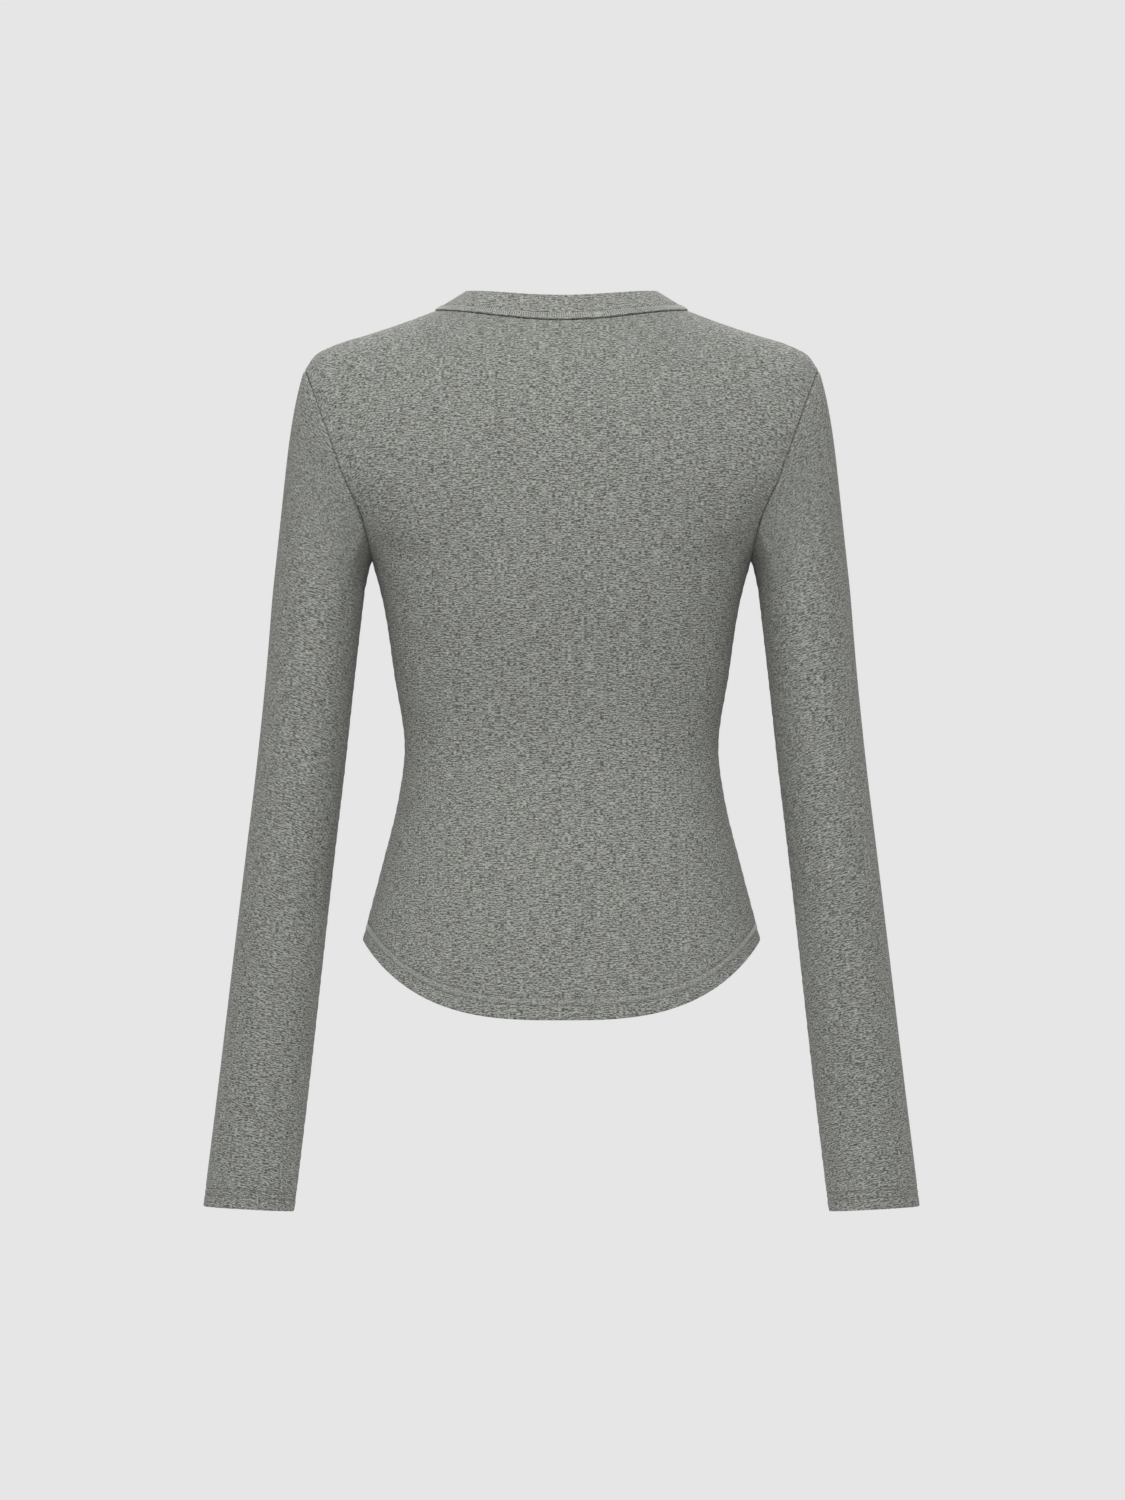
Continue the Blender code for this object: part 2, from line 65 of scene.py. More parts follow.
Level = namedtuple("Level", "name z half_width back front")
BODY_LEVELS = (
    Level("hem", -0.510, 0.1552, 0.1035, 0.104),
    Level("side hem", -0.452, 0.1426, 0.0985, 0.103),
    Level("hip", -0.400, 0.1290, 0.0895, 0.099),
    Level("high hip", -0.350, 0.1168, 0.0796, 0.0938),
    Level("waist", -0.316, 0.1124, 0.0765, 0.0945),
    Level("ribs", -0.260, 0.1198, 0.0850, 0.1060),
    Level("bust", -0.205, 0.1286, 0.0965, 0.1200),
    Level("armpit", -0.1765, 0.1362, 0.0990, 0.1205),
    Level("low armhole", -0.148, 0.1432, 0.1000, 0.1170),
    Level("yoke", -0.118, 0.1570, 0.0990, 0.1100),
)
SECTION_POWER = 2.3
HEM_RISE_POWER = 2.55

ShoulderPoint = namedtuple("ShoulderPoint", "name x z")
SHOULDER = (
    ShoulderPoint("neck", 0.0900, 0.0012),
    ShoulderPoint("slope", 0.1130, -0.0075),
    ShoulderPoint("middle", 0.1400, -0.0164),
    ShoulderPoint("crown", 0.1638, -0.0238),
    ShoulderPoint("round", 0.1772, -0.0308),
    ShoulderPoint("sleeve", 0.1846, -0.0418),
)
INNER_SHOULDER_SLOPE = 0.35
YOKE_FAN = 0.4

# A rim of the neckband: half its width, its height at the shoulder, its depth and its height at the middle.
Rim = namedtuple("Rim", "half side_z depth middle_z")
NECK_HALF, NECK_SIDE_Z = SHOULDER[0].x, SHOULDER[0].z
BAND_TOP_HALF, BAND_TOP_SIDE_Z = 0.0675, 0.0152
# Half of the body: +1 behind or -1 before, armhole depth, lowest hem, the neckband's seam and its free edge,
# and the power that shapes their dip.
Side = namedtuple("Side", "name sign armhole hem_z seam top dip_power")
BACK = Side(
    "back",
    sign=1,
    armhole=0.058,
    hem_z=-0.5078,
    seam=Rim(NECK_HALF, NECK_SIDE_Z, 0.062, -0.0060),
    top=Rim(BAND_TOP_HALF, BAND_TOP_SIDE_Z, 0.044, 0.0118),
    dip_power=4,
)
FRONT = Side(
    "front",
    sign=-1,
    armhole=0.054,
    hem_z=-0.4990,
    seam=Rim(NECK_HALF, NECK_SIDE_Z, 0.082, -0.078),
    top=Rim(BAND_TOP_HALF, BAND_TOP_SIDE_Z, 0.065, -0.0595),
    dip_power=1.5,
)

# ---- the front bands and buttons ----

BAND_HALF = 0.010
LAP_GAP = 0.00035  # left between the two bands where they lap
LAP = DOUBLE + LAP_GAP
LAP_RAMP = 0.028
BUTTONS = 7
BUTTON_GAP = 0.0003  # between a button and the cloth below it
TOP_BUTTON_Z = (FRONT.seam.middle_z + FRONT.top.middle_z) / 2
LOW_BUTTON_Z = FRONT.hem_z + 0.040

# ---- the sleeves, from the armpit down ----

SleeveLevel = namedtuple("SleeveLevel", "name z centre_x half_width centre_y half_depth")
SLEEVE_LEVELS = (
    SleeveLevel("upper arm", -0.205, 0.1752, 0.0324, 0.000, 0.0490),
    SleeveLevel("biceps", -0.260, 0.1806, 0.0315, 0.001, 0.0460),
    SleeveLevel("above elbow", -0.330, 0.1880, 0.0313, 0.002, 0.0420),
    SleeveLevel("elbow", -0.390, 0.1952, 0.0314, 0.001, 0.0400),
    SleeveLevel("forearm", -0.460, 0.2034, 0.0317, -0.005, 0.0380),
    SleeveLevel("wrist", -0.560, 0.2150, 0.0321, -0.016, 0.0350),
    SleeveLevel("cuff", -0.6455, 0.2255, 0.0323, -0.026, 0.0335),
)
CUFF_TILT = 0.056
CAP_FULLNESS = 0.9
TOP_FULLNESS = 0.12
CREASE_FROM = 0.4
CREASE_POWER = 0.5
UNDERARM_SWELL = np.array([0.9, 0.0, 0.35])
SWELL_POWER = 8
DOWN_STEP = 0.04  # height over which the upper sleeve's direction is taken
SLEEVE_ROUND = 0.036  # radius that turns an angle round the sleeve into a distance

# ---- how finely the cloth is divided ----

CELL = 0.0036
LAP_CELL = 0.0025  # across the neckband where it laps
STRIP_CELL = 0.0016  # across the front bands
NECKBAND_CELL = 0.0014  # up the neckband
NECK_SHARE = 8 / 14  # of a half panel's columns, those that end at the neckline
PANEL_HALF = 0.200  # rough lengths of cloth, which only space the columns and rows
BODY_LENGTH = 0.331
ARMHOLE_LENGTH = 0.090
YOKE_LENGTH = 0.170
CAP_LENGTH = 0.165
ARM_LENGTH = 0.444
BAND_HEIGHT = 0.025
SMALL_STEP = 0.001
EDGE_STEPS = (0.0, 0.00015, 0.0004, 0.0008, 0.0012, 0.0016, 0.0020, 0.0025, 0.0032)  # extra rows at an edge

# ---- how edges, seams and stitched rows shape it ----

HEM_DEEP = 0.0195  # of the turned-up hem
HEM_ROWS = (0.0104, 0.0158)  # heights of its two needle rows
CUFF_DEEP = 0.0165
CUFF_ROWS = (0.0085, 0.0135)
HEM_SINK = 0.00048  # how far a row of stitches draws the hem in, and the cuffs
NEEDLE_SINK = 0.00022  # the same on the front bands
NEEDLE_REACH = 0.0009
BAND_EDGE_ROW = 0.0021  # from a front band's edge to its stitching
EDGE_LEFT = 0.002  # keeps the two faces a little apart at the edge itself
SEAM_ROUND = 0.0008  # radius of the cloth's turn at a seam
SEAM_ROLL = 0.0006  # how far it is drawn in there
SEAM_REACH = 0.0014
ARMHOLE_ROLL = 0.0015  # the same at the armholes, which are pulled tighter
ARMHOLE_REACH = 0.0010
TIGHT_FROM_TOP = (0.004, 0.020)  # distances over which they grow tight, from the shoulder's point
TIGHT_FROM_ARMPIT = (0.005, 0.050)  # and upwards from the armpit
TURN_EVEN = 0.003  # height over which the normals are evened out at the armpit's level
TURN_REACH = 0.008  # how far above and below that level the turn is filled
TURN_EDGE = 0.005  # how near the seam it is left
NECK_LIP = 0.0003  # how far the neckband's lower edge hangs below its seam
NECK_DIVE = 0.0012  # how far the cloth below it goes in under that lip
DIVE_OVER = (NECK_LIP + 0.0002, NECK_LIP + 0.0010)  # distances from the seam between which it does so
NECKBAND_PROUD = 0.0006  # how far the neckband's outer face stands out over its seam
NECKBAND_EVEN = 0.012  # and the height over which that fades
LIP_ROLL = 0.0015  # length of cloth over which the lip rolls under
LIP_RADIUS = 0.0009
LIP_UNDER = math.radians(70)  # how far round it goes underneath
LIP_STEPS = tuple(LIP_ROLL * k / 8 for k in range(9))
LADDER_LOW, LADDER_HIGH = 0.0004, 0.0048  # the neckband's cover stitch, above its seam
LADDER_SOFT_LOW, LADDER_SOFT_HIGH = 0.0012, 0.0008  # heights over which its two edges come out
LADDER_SINK = 0.00035
LADDER_GROOVE = 0.0063  # the trough above it
GROOVE_SINK = 0.0007
GROOVE_REACH = 0.0005
LADDER_STEPS = (22, 30, 38, 44, 48, 52, 56, 60, 63, 66, 70, 76)  # extra rows there, in tenths of a millimetre
COURSES_LEVEL = 0.8  # how level the courses lie at the shoulder, 1 for quite level
LEVEL_OVER = (0.02, 0.12)  # distances above the armpit over which they come to that
COURSES_HANG = 0.010  # how far they hang down beside the armhole
HANG_REACH = 0.022
HANG_OVER = (-0.05, 0.04)  # distances above the armpit over which they come to that
COURSES_FALL = 0.36  # slope of a sleeve's courses, down from the top line to the underarm seam
FALL_SOFT = 0.020  # how near the top line they are still level
FALL_LESS = 0.4  # how much less they fall at the cuff
FALL_OVER = (0.35, 0.50)  # row distances over which they come to that


def curve_through(stations, values):
    """A smooth curve through values at these stations, as a function of the station."""
    order = np.argsort(stations)
    at, value = np.array(stations, float)[order], np.array(values, float)[order]
    slope = np.gradient(value, at)

    def evaluate(x):
        x = np.clip(x, at[0], at[-1])
        i = np.clip(np.searchsorted(at, x) - 1, 0, len(at) - 2)
        span = at[i + 1] - at[i]
        t = (x - at[i]) / span
        rise = t * t * (3 - 2 * t)
        start = t * (1 - t) ** 2 * span * slope[i]
        end = t * t * (t - 1) * span * slope[i + 1]
        return value[i] + rise * (value[i + 1] - value[i]) + start + end

    return evaluate


def table_curve(table, station, name):
    """The curve of a table's column name over its column station."""
    return curve_through([getattr(row, station) for row in table], [getattr(row, name) for row in table])


def unit(vectors):
    return vectors / np.maximum(np.linalg.norm(vectors, axis=-1, keepdims=True), 1e-12)


def smooth(low, high, x):
    """0 below low, 1 above high, and a soft rise between."""
    t = np.clip((x - low) / (high - low), 0, 1)
    return t * t * (3 - 2 * t)


def bell(x, width):
    return np.exp(-((x / width) ** 2))


def distances(points, axis=0):
    """How far along a line of points each lies from the first."""
    steps = np.linalg.norm(np.diff(points, axis=axis), axis=-1)
    return np.insert(np.cumsum(steps, axis=axis), 0, 0, axis=axis)


half_width_at = table_curve(BODY_LEVELS, "z", "half_width")
depth_at = {name: table_curve(BODY_LEVELS, "z", name) for name in ("back", "front")}
ridge_z_at = table_curve(SHOULDER, "x", "z")


def body_point(side, share, z, first_x=0.0):
    """The body's point at height z, a share of the way from the centre line (or first_x) to the edge."""
    edge_x = half_width_at(z)
    depth = depth_at[side.name](z)
    below_yoke = np.clip((YOKE_Z - z) / (YOKE_Z - ARMPIT_Z), 0, 1)
    edge_y = side.armhole * np.sqrt(1 - below_yoke**2)
    reach = edge_x / (1 - (edge_y / depth) ** SECTION_POWER) ** (1 / SECTION_POWER)
    turn = np.arcsin(np.clip((edge_x / reach) ** (SECTION_POWER / 2), 0, 1))
    first = np.arcsin((first_x / reach) ** (SECTION_POWER / 2))
    angle = first + (turn - first) * share
    x = reach * np.sin(angle) ** (2 / SECTION_POWER)
    y = side.sign * depth * np.maximum(np.cos(angle), 0) ** (2 / SECTION_POWER)
    return np.stack([x, y, z + 0 * x], axis=-1)


def rim_point(side, rim, around):
    """A rim's point at the angle around, from 0 at the centre line to a right angle at the shoulder."""
    cosine = np.maximum(np.cos(around), 0)
    z = rim.side_z + (rim.middle_z - rim.side_z) * cosine**side.dip_power
    return np.stack([rim.half * np.sin(around), side.sign * rim.depth * cosine, z], axis=-1)


def shoulder_seam(along):
    line = np.array([(point.x, 0, point.z) for point in SHOULDER])
    length = distances(line)
    return np.stack([curve_through(length, line[:, k])(along * length[-1]) for k in range(3)], axis=-1)


def inner_ridge(x):
    inside = NECK_SIDE_Z + INNER_SHOULDER_SLOPE * (NECK_HALF - x)
    return np.where(x < NECK_HALF, inside, ridge_z_at(np.maximum(x, NECK_HALF)))


def run(length, step=CELL, start=(0.0,), end=(0.0,)):
    """Shares from 0 to 1 of a run of cloth, about a step apart, with further ones at the given distances
    from its start and from its end."""
    near, far = np.array(start) / length, 1 - np.array(end)[::-1] / length
    even = np.linspace(0, 1, round(length / step) + 1)
    clear = 0.4 * step / length
    return np.concatenate([near, even[(even > near[-1] + clear) & (even < far[0] - clear)], far])


def turned_edge(rows, deep):
    """Row distances for a turned-up edge, close together at its fold, its rows of stitches and its end."""
    dips = [row + NEEDLE_REACH * share for row in rows for share in (-1.6, -0.9, -0.4, 0.0, 0.4, 0.9, 1.6)]
    return (*EDGE_STEPS, 0.0045, *dips, deep - 0.0001, deep + 0.0001)


NECK_RUN = run(PANEL_HALF * NECK_SHARE)
SHOULDER_RUN = run(PANEL_HALF * (1 - NECK_SHARE), end=EDGE_STEPS)
ACROSS = np.concatenate([NECK_SHARE * NECK_RUN, NECK_SHARE + (1 - NECK_SHARE) * SHOULDER_RUN[1:]])
BODY_RUN = run(BODY_LENGTH, start=turned_edge(HEM_ROWS, HEM_DEEP))[:-1]
ARMHOLE_RUN = run(ARMHOLE_LENGTH, start=EDGE_STEPS)
YOKE_RUN = run(YOKE_LENGTH, end=EDGE_STEPS)[1:]
ARMPIT_ROW = len(BODY_RUN)
ROW_AT = np.concatenate(
    [
        BODY_RUN * BODY_LENGTH,
        BODY_LENGTH + ARMHOLE_RUN * ARMHOLE_LENGTH,
        BODY_LENGTH + ARMHOLE_LENGTH + YOKE_RUN * YOKE_LENGTH,
    ]
)


def yoke_column(side, share, top, over_shoulder, first_x):
    """Points of one column of the yoke, up to top, which lies on the neckline or on the shoulder seam."""
    foot = body_point(side, share, YOKE_Z, first_x)
    below = body_point(side, share, YOKE_Z - SMALL_STEP, first_x)
    lean = (foot[1] - below[1]) / SMALL_STEP

    def depth(z):
        return foot[1] + lean * (z - YOKE_Z)

    sine = np.clip(top[1] / depth(top[2]), 0, 1)
    first = math.asin(sine)
    peak = YOKE_Z + (top[2] - YOKE_Z) / math.cos(first)
    angle = math.pi / 2 + (first - math.pi / 2) * YOKE_RUN
    fan = np.clip((np.sin(angle) - sine) / (1 - sine), 0, 1) ** (1 - YOKE_FAN * share)
    fall = (math.cos(first) - np.cos(angle)) / math.cos(first)
    x = top[0] + (foot[0] - top[0]) * ((1 - over_shoulder) * fan + over_shoulder * fall)
    arch = peak + (1 - over_shoulder) * (inner_ridge(x) - inner_ridge(top[0]))
    z = YOKE_Z + (arch - YOKE_Z) * np.cos(angle)
    return np.stack([x, depth(z) * np.sin(angle), z], axis=-1)


def half_panel(side, first_x=0.0):
    """Grid of points of half a panel, a row for each level from the hem up, a column for each share out."""
    hem = side.hem_z + (SIDE_HEM_Z - side.hem_z) * np.sin(ACROSS * math.pi / 2) ** HEM_RISE_POWER
    rows = [body_point(side, ACROSS, hem + (ARMPIT_Z - hem) * t, first_x) for t in BODY_RUN]
    for t in ARMHOLE_RUN:
        fall = 1 - t + (math.cos(math.pi / 2 * t) - 1 + t) * ACROSS**4
        rows.append(body_point(side, ACROSS, YOKE_Z + (ARMPIT_Z - YOKE_Z) * fall, first_x))
    first = math.asin(first_x / NECK_HALF)
    yoke = []
    for share in ACROSS:
        over_shoulder = max(0.0, (share - NECK_SHARE) / (1 - NECK_SHARE))
        if share < NECK_SHARE:
            top = rim_point(side, side.seam, first + (math.pi / 2 - first) * share / NECK_SHARE)
        else:
            top = shoulder_seam(over_shoulder)
        yoke.append(yoke_column(side, share, top, over_shoulder, first_x))
    rows.extend(np.stack(yoke, axis=1))
    return np.array(rows)


def mirrored(grid):
    """The grid on the other side of the body, with its columns still from -X to +X."""
    return (grid * (-1, 1, 1))[:, ::-1]


# ---- a piece of cloth ----


class Cloth:
    """One cut piece: the grid of its middle surface, its normals, and how far its outer and inner faces lie
    from the grid. A tube's first and last columns are the same points."""

    def __init__(self, grid, row_at, column_at, thick=CLOTH, outward=1, tube=False):
        self.grid = grid
        self.row_at = row_at
        self.column_at = column_at
        self.tube = tube
        along = np.gradient(grid, row_at, axis=0)
        if tube:
            wide = np.concatenate([grid[:, -2:-1], grid, grid[:, 1:2]], axis=1)
            first = column_at[0] - (column_at[-1] - column_at[-2])
            last = column_at[-1] + (column_at[1] - column_at[0])
            across = np.gradient(wide, np.concatenate([[first], column_at, [last]]), axis=1)[:, 1:-1]
        else:
            across = np.gradient(grid, column_at, axis=1)
        self.normals = unit(np.cross(across, along)) * outward
        self.up = unit(along)
        self.from_low = distances(grid)
        self.from_high = self.from_low[-1] - self.from_low
        self.from_left = distances(grid, axis=1)
        self.from_right = self.from_left[:, -1:] - self.from_left
        self.from_side = np.minimum(self.from_left, self.from_right)
        self.outer = np.full(grid.shape[:2], thick / 2)
        self.inner = -self.outer
        self.slide = 0 * self.outer
        self.uv = np.zeros(grid.shape[:2] + (2,))

    def move(self, height):
        """Moves both faces out by height."""
        self.outer += height
        self.inner += height

    def dive(self, distance):
        """Takes the cloth in under the neckband's lip, where distance from the neckline is small."""
        self.move(-NECK_DIVE * (1 - smooth(*DIVE_OVER, distance)))

    def round_edge(self, distance, radius=SEAM_ROUND):
        """Brings the two faces together in a round edge where distance runs to 0."""
        middle = (self.outer + self.inner) / 2
        half = (self.outer - self.inner) / 2
        full = np.sqrt(np.maximum(1 - np.clip(1 - distance / radius, 0, 1) ** 2, EDGE_LEFT))
        self.outer = middle + half * full
        self.inner = middle - half * full

    def sink(self, distance, depth=SEAM_ROLL, reach=SEAM_REACH):
        """Draws the cloth in where distance is small, as at a seam."""
        self.move(-depth * bell(distance, reach))

    def armhole_seam(self, distance):
        """A tight seam, which lies flatter over the point of the shoulder and under the arm."""
        _, y, z = np.moveaxis(self.grid, -1, 0)
        tight = smooth(*TIGHT_FROM_TOP, np.abs(y)) * smooth(*TIGHT_FROM_ARMPIT, z - ARMPIT_Z)
        self.sink(distance, SEAM_ROLL + (ARMHOLE_ROLL - SEAM_ROLL) * tight, ARMHOLE_REACH)
        self.round_edge(distance)

    def roll_under(self):
        """Rolls the outer face in at the low edge, along a round lip that goes underneath."""
        turn = -LIP_UNDER + (LIP_UNDER + math.pi / 2) * np.clip(self.from_low / LIP_ROLL, 0, 1)
        rolled = self.from_low < LIP_ROLL
        self.slide = np.where(rolled, LIP_RADIUS * (1 - np.cos(turn)) - self.from_low, 0)
        self.outer -= np.where(rolled, LIP_RADIUS * (1 - np.sin(turn)), 0)

    def turn_up(self, distance, rows, deep):
        """A turned-up edge: a second layer inside, a round fold, and the dips of its rows of stitches."""
        distance = distance + 0 * self.outer
        self.inner -= CLOTH * (distance < deep)
        for row in rows:
            self.outer -= HEM_SINK * bell(distance - row, NEEDLE_REACH)
        self.round_edge(distance, CLOTH)

    def lay_uv(self, middle_column, level_row, droop=0.0, offset=(0.0, 0.0)):
        """UV in metres of cloth: across from a column and up from a row, with the courses drooping. The
        offset gives each piece its own part of the knit."""
        u = self.from_left - self.from_left[:, middle_column][:, None]
        v = self.from_low - self.from_low[level_row] + droop
        self.uv = np.stack([u + offset[0], v + offset[1]], axis=-1)

    def face(self, inside=False):
        """Points of the outer face, or of the inner one."""
        if inside:
            return self.grid + self.inner[..., None] * self.normals
        return self.grid + self.outer[..., None] * self.normals + self.slide[..., None] * self.up

    def row(self, at, inside=False):
        """(points, normals) along the cloth at this row distance."""
        return tuple(between_rows(values, self.row_at, at) for values in (self.face(inside), self.normals))

    def spot(self, row, column):
        """(point, normal) of the outer face at a row distance and a column distance."""
        return tuple(between_rows(values, self.column_at, column) for values in self.row(row))

    def line(self, at):
        """(points, normals) up the cloth at this column distance."""
        values = (np.swapaxes(v, 0, 1) for v in (self.face(), self.normals))
        return tuple(between_rows(v, self.column_at, at) for v in values)

    def mesh_object(self, name, material):
        """The piece as a closed thin shell with its own UV map, in metres of cloth."""
        rows, columns = self.grid.shape[:2]
        kept = columns - 1 if self.tube else columns
        points = np.concatenate([self.face()[:, :kept], self.face(inside=True)[:, :kept]]).reshape(-1, 3)
        outer = np.arange(rows)[:, None] * kept + np.arange(columns) % kept
        inner = outer + rows * kept
        quads, uvs = [], []

        def add(corners, corner_uvs):
            quads.append(np.stack(corners, axis=-1).reshape(-1, 4))
            uvs.append(np.stack(corner_uvs, axis=-2).reshape(-1, 4, 2))

        def corners_of(values):
            return values[:-1, :-1], values[:-1, 1:], values[1:, 1:], values[1:, :-1]

        def close(a, b, u):
            """The strip between the two faces along one edge."""
            add((a[:-1], a[1:], b[1:], b[:-1]), (u[:-1], u[1:], u[1:], u[:-1]))

        add(corners_of(outer), corners_of(self.uv))
        add(corners_of(inner)[::-1], corners_of(self.uv)[::-1])
        close(inner[0], outer[0], self.uv[0])
        close(outer[-1], inner[-1], self.uv[-1])
        if not self.tube:
            close(outer[:, 0], inner[:, 0], self.uv[:, 0])
            close(inner[:, -1], outer[:, -1], self.uv[:, -1])
        data = bpy.data.meshes.new(name)
        data.from_pydata(points.tolist(), [], np.concatenate(quads).tolist())
        layer = data.uv_layers.new(name="cloth")
        layer.data.foreach_set("uv", np.concatenate(uvs).astype(np.float32).ravel())
        mesh = bmesh.new()
        mesh.from_mesh(data)
        bpy.data.meshes.remove(data)
        return placed(f"{name}_cloth", mesh_data(mesh, name, material))


def between_rows(values, at, wanted):
    """The values of a grid between its rows, at the wanted distance."""
    i = int(np.clip(np.searchsorted(at, wanted) - 1, 0, len(at) - 2))
    t = (wanted - at[i]) / (at[i + 1] - at[i])
    return values[i] * (1 - t) + values[i + 1] * t


def placed(name, data):
    made = bpy.data.objects.new(name, data)
    bpy.context.scene.collection.objects.link(made)
    return made


def mesh_data(mesh, name, material=None):
    """A finished bmesh as smooth mesh data with its faces outwards."""
    bmesh.ops.recalc_face_normals(mesh, faces=mesh.faces)
    data = bpy.data.meshes.new(name)
    mesh.to_mesh(data)
    mesh.free()
    data.shade_smooth()
    if material:
        data.materials.append(material)
    return data


def evaluated_mesh(made):
    """The mesh of an object with its modifiers worked out. The object itself is removed."""
    bpy.context.view_layer.update()
    data = bpy.data.meshes.new_from_object(made.evaluated_get(bpy.context.evaluated_depsgraph_get()))
    bpy.data.objects.remove(made)
    return data


def share_seam_normals(pieces):
    """Gives pieces that meet at a seam one normal there, so that their edges face each other squarely."""
    total, keyed = {}, []
    for cloth in pieces:
        rows, columns = cloth.grid.shape[:2]
        border = [(i, j) for i in (0, rows - 1) for j in range(columns)]
        if not cloth.tube:
            border += [(i, j) for j in (0, columns - 1) for i in range(1, rows - 1)]
        for ij in border:
            key = tuple(np.round(cloth.grid[ij], 6) + 0.0)
            keyed.append((cloth, ij, key))
            total[key] = total.get(key, 0) + cloth.normals[ij]
    for cloth, ij, key in keyed:
        cloth.normals[ij] = unit(total[key])


def ease_armpit(cloth):
    """Evens out the normals where the body turns outwards at the armhole's bottom, and fills the turn."""
    z = cloth.grid[..., 2]
    turn = cloth.normals[ARMPIT_ROW - 1, :, 2] - cloth.normals[ARMPIT_ROW + 2, :, 2]
    weight = bell(z[:, None] - z[None], TURN_EVEN) * np.abs(np.gradient(z, axis=0))
    even = unit(np.einsum("ikj,kjc->ijc", weight, cloth.normals))
    share = bell(z - ARMPIT_Z, 3 * TURN_EVEN)[..., None]
    cloth.normals = unit(cloth.normals + (even - cloth.normals) * share)
    short = np.maximum(TURN_REACH - np.abs(z - ARMPIT_Z), 0)
    cloth.move(np.maximum(turn, 0) * short**2 / (4 * TURN_REACH) * smooth(0, TURN_EDGE, cloth.from_side))


# ---- the pieces' grids ----


def edge_normals(grid):
    """The normals along a half panel's side edge, from the armpit up."""
    along = np.gradient(grid, axis=0)[:, -1]
    across = grid[:, -1] - grid[:, -4]
    return unit(np.cross(along, across))[ARMPIT_ROW:]


def sleeve_grid(back, front):
    """Grid of the wearer's left sleeve with its row and column distances: a row for each ring from the
    armhole to the cuff, from the underarm seam up the front and down the back."""
    armhole = np.concatenate([front[ARMPIT_ROW:, -1], back[ARMPIT_ROW:, -1][::-1][1:]])
    body_normals = np.concatenate([-edge_normals(front), edge_normals(back)[::-1][1:]])
    quarters = (-math.pi + ARMHOLE_RUN * math.pi / 2, -math.pi / 2 + YOKE_RUN * math.pi / 2)
    front_turn = np.concatenate(quarters)
    around = np.concatenate([front_turn, -front_turn[::-1][1:]])
    shape = {name: table_curve(SLEEVE_LEVELS, "z", name) for name in SleeveLevel._fields[2:]}
    top, cuff = SLEEVE_LEVELS[0].z, SLEEVE_LEVELS[-1].z

    def ring(z):
        out = shape["half_width"](z) * np.cos(around)
        tilt = CUFF_TILT * (top - z) / (top - cuff)
        y = shape["centre_y"](z) + shape["half_depth"](z) * np.sin(around)
        return np.stack([shape["centre_x"](z) + out, y, z + tilt * out], axis=-1)

    arm_run = run(ARM_LENGTH, end=turned_edge(CUFF_ROWS, CUFF_DEEP))
    arm = [ring(top + (cuff - top) * t) for t in arm_run]
    down = unit(ring(top - DOWN_STEP).mean(axis=0) - arm[0].mean(axis=0))
    along_seam = np.gradient(armhole, np.unwrap(around), axis=0)
    along_seam[[0, -1]] = (armhole[1] - armhole[-2]) / 2
    chord = arm[0] - armhole
    distance = np.linalg.norm(chord, axis=1, keepdims=True)
    leave = unit(np.cross(unit(along_seam), body_normals))
    leave *= np.sign(np.sum(leave * chord, axis=1, keepdims=True))
    under = ((1 - np.cos(around)) / 2)[:, None]
    crease = np.clip((under - CREASE_FROM) / (1 - CREASE_FROM), 0, 1) ** CREASE_POWER
    leave = unit(leave * (1 - crease) + chord / distance * crease + UNDERARM_SWELL * under**SWELL_POWER)
    side_on = np.abs(np.sin(around))[:, None]
    reach = distance * (TOP_FULLNESS + (CAP_FULLNESS - TOP_FULLNESS) * side_on)
    cap_run = run(CAP_LENGTH, start=EDGE_STEPS)[:-1]
    cap = []
    for t in cap_run:
        rise = t * t * (3 - 2 * t)
        start = t * (1 - t) ** 2 * reach * leave
        end = t * t * (t - 1) * distance * CAP_FULLNESS * down
        cap.append(armhole * (1 - rise) + arm[0] * rise + start + end)
    row_at = np.concatenate([cap_run * CAP_LENGTH, CAP_LENGTH + arm_run * ARM_LENGTH])
    return np.array(cap + arm), row_at, around * SLEEVE_ROUND


def neckband_grid():
    """Grid of the neckband with its row and column distances: from the wearer's left end, under, round the
    back to the right end, on top."""
    first = math.asin(BAND_HALF / NECK_HALF)
    lap = -first + 2 * first * run(2 * BAND_HALF, LAP_CELL, start=EDGE_STEPS)
    front = np.concatenate([lap[:-1], first + (math.pi / 2 - first) * NECK_RUN])
    low = LIP_STEPS + tuple(NECK_LIP + step / 10000 for step in LADDER_STEPS)
    height = BAND_HEIGHT + NECK_LIP
    shares = (run(height, NECKBAND_CELL, start=low, end=EDGE_STEPS) * height - NECK_LIP) / BAND_HEIGHT

    def between_rims(side, around):
        share = shares[:, None, None]
        return (1 - share) * rim_point(side, side.seam, around) + share * rim_point(side, side.top, around)

    back = between_rims(BACK, math.pi / 2 * NECK_RUN)
    half = np.concatenate([between_rims(FRONT, front), back[:, ::-1][:, 1:]], axis=1)
    grid = np.concatenate([half, mirrored(half)[:, 1:]], axis=1)
    return grid, shares * BAND_HEIGHT, distances(grid[len(grid) // 2])


def front_band_grid(front):
    """Grid of a front band and its column distances, with the rows of the front beside it."""
    edge = front[:, 0]
    middle = edge.copy()
    middle[:, 0] = 0
    middle[0, 2] = FRONT.hem_z
    middle[-1, 1:] = rim_point(FRONT, FRONT.seam, 0.0)[1:]
    across = -1 + 2 * run(2 * BAND_HALF, STRIP_CELL, start=EDGE_STEPS, end=EDGE_STEPS)
    columns = [middle + (edge - middle) * (s * s) + (edge * (1, 0, 0)) * (s - s * s) for s in across]
    return np.stack(columns, axis=1), (across + 1) * BAND_HALF


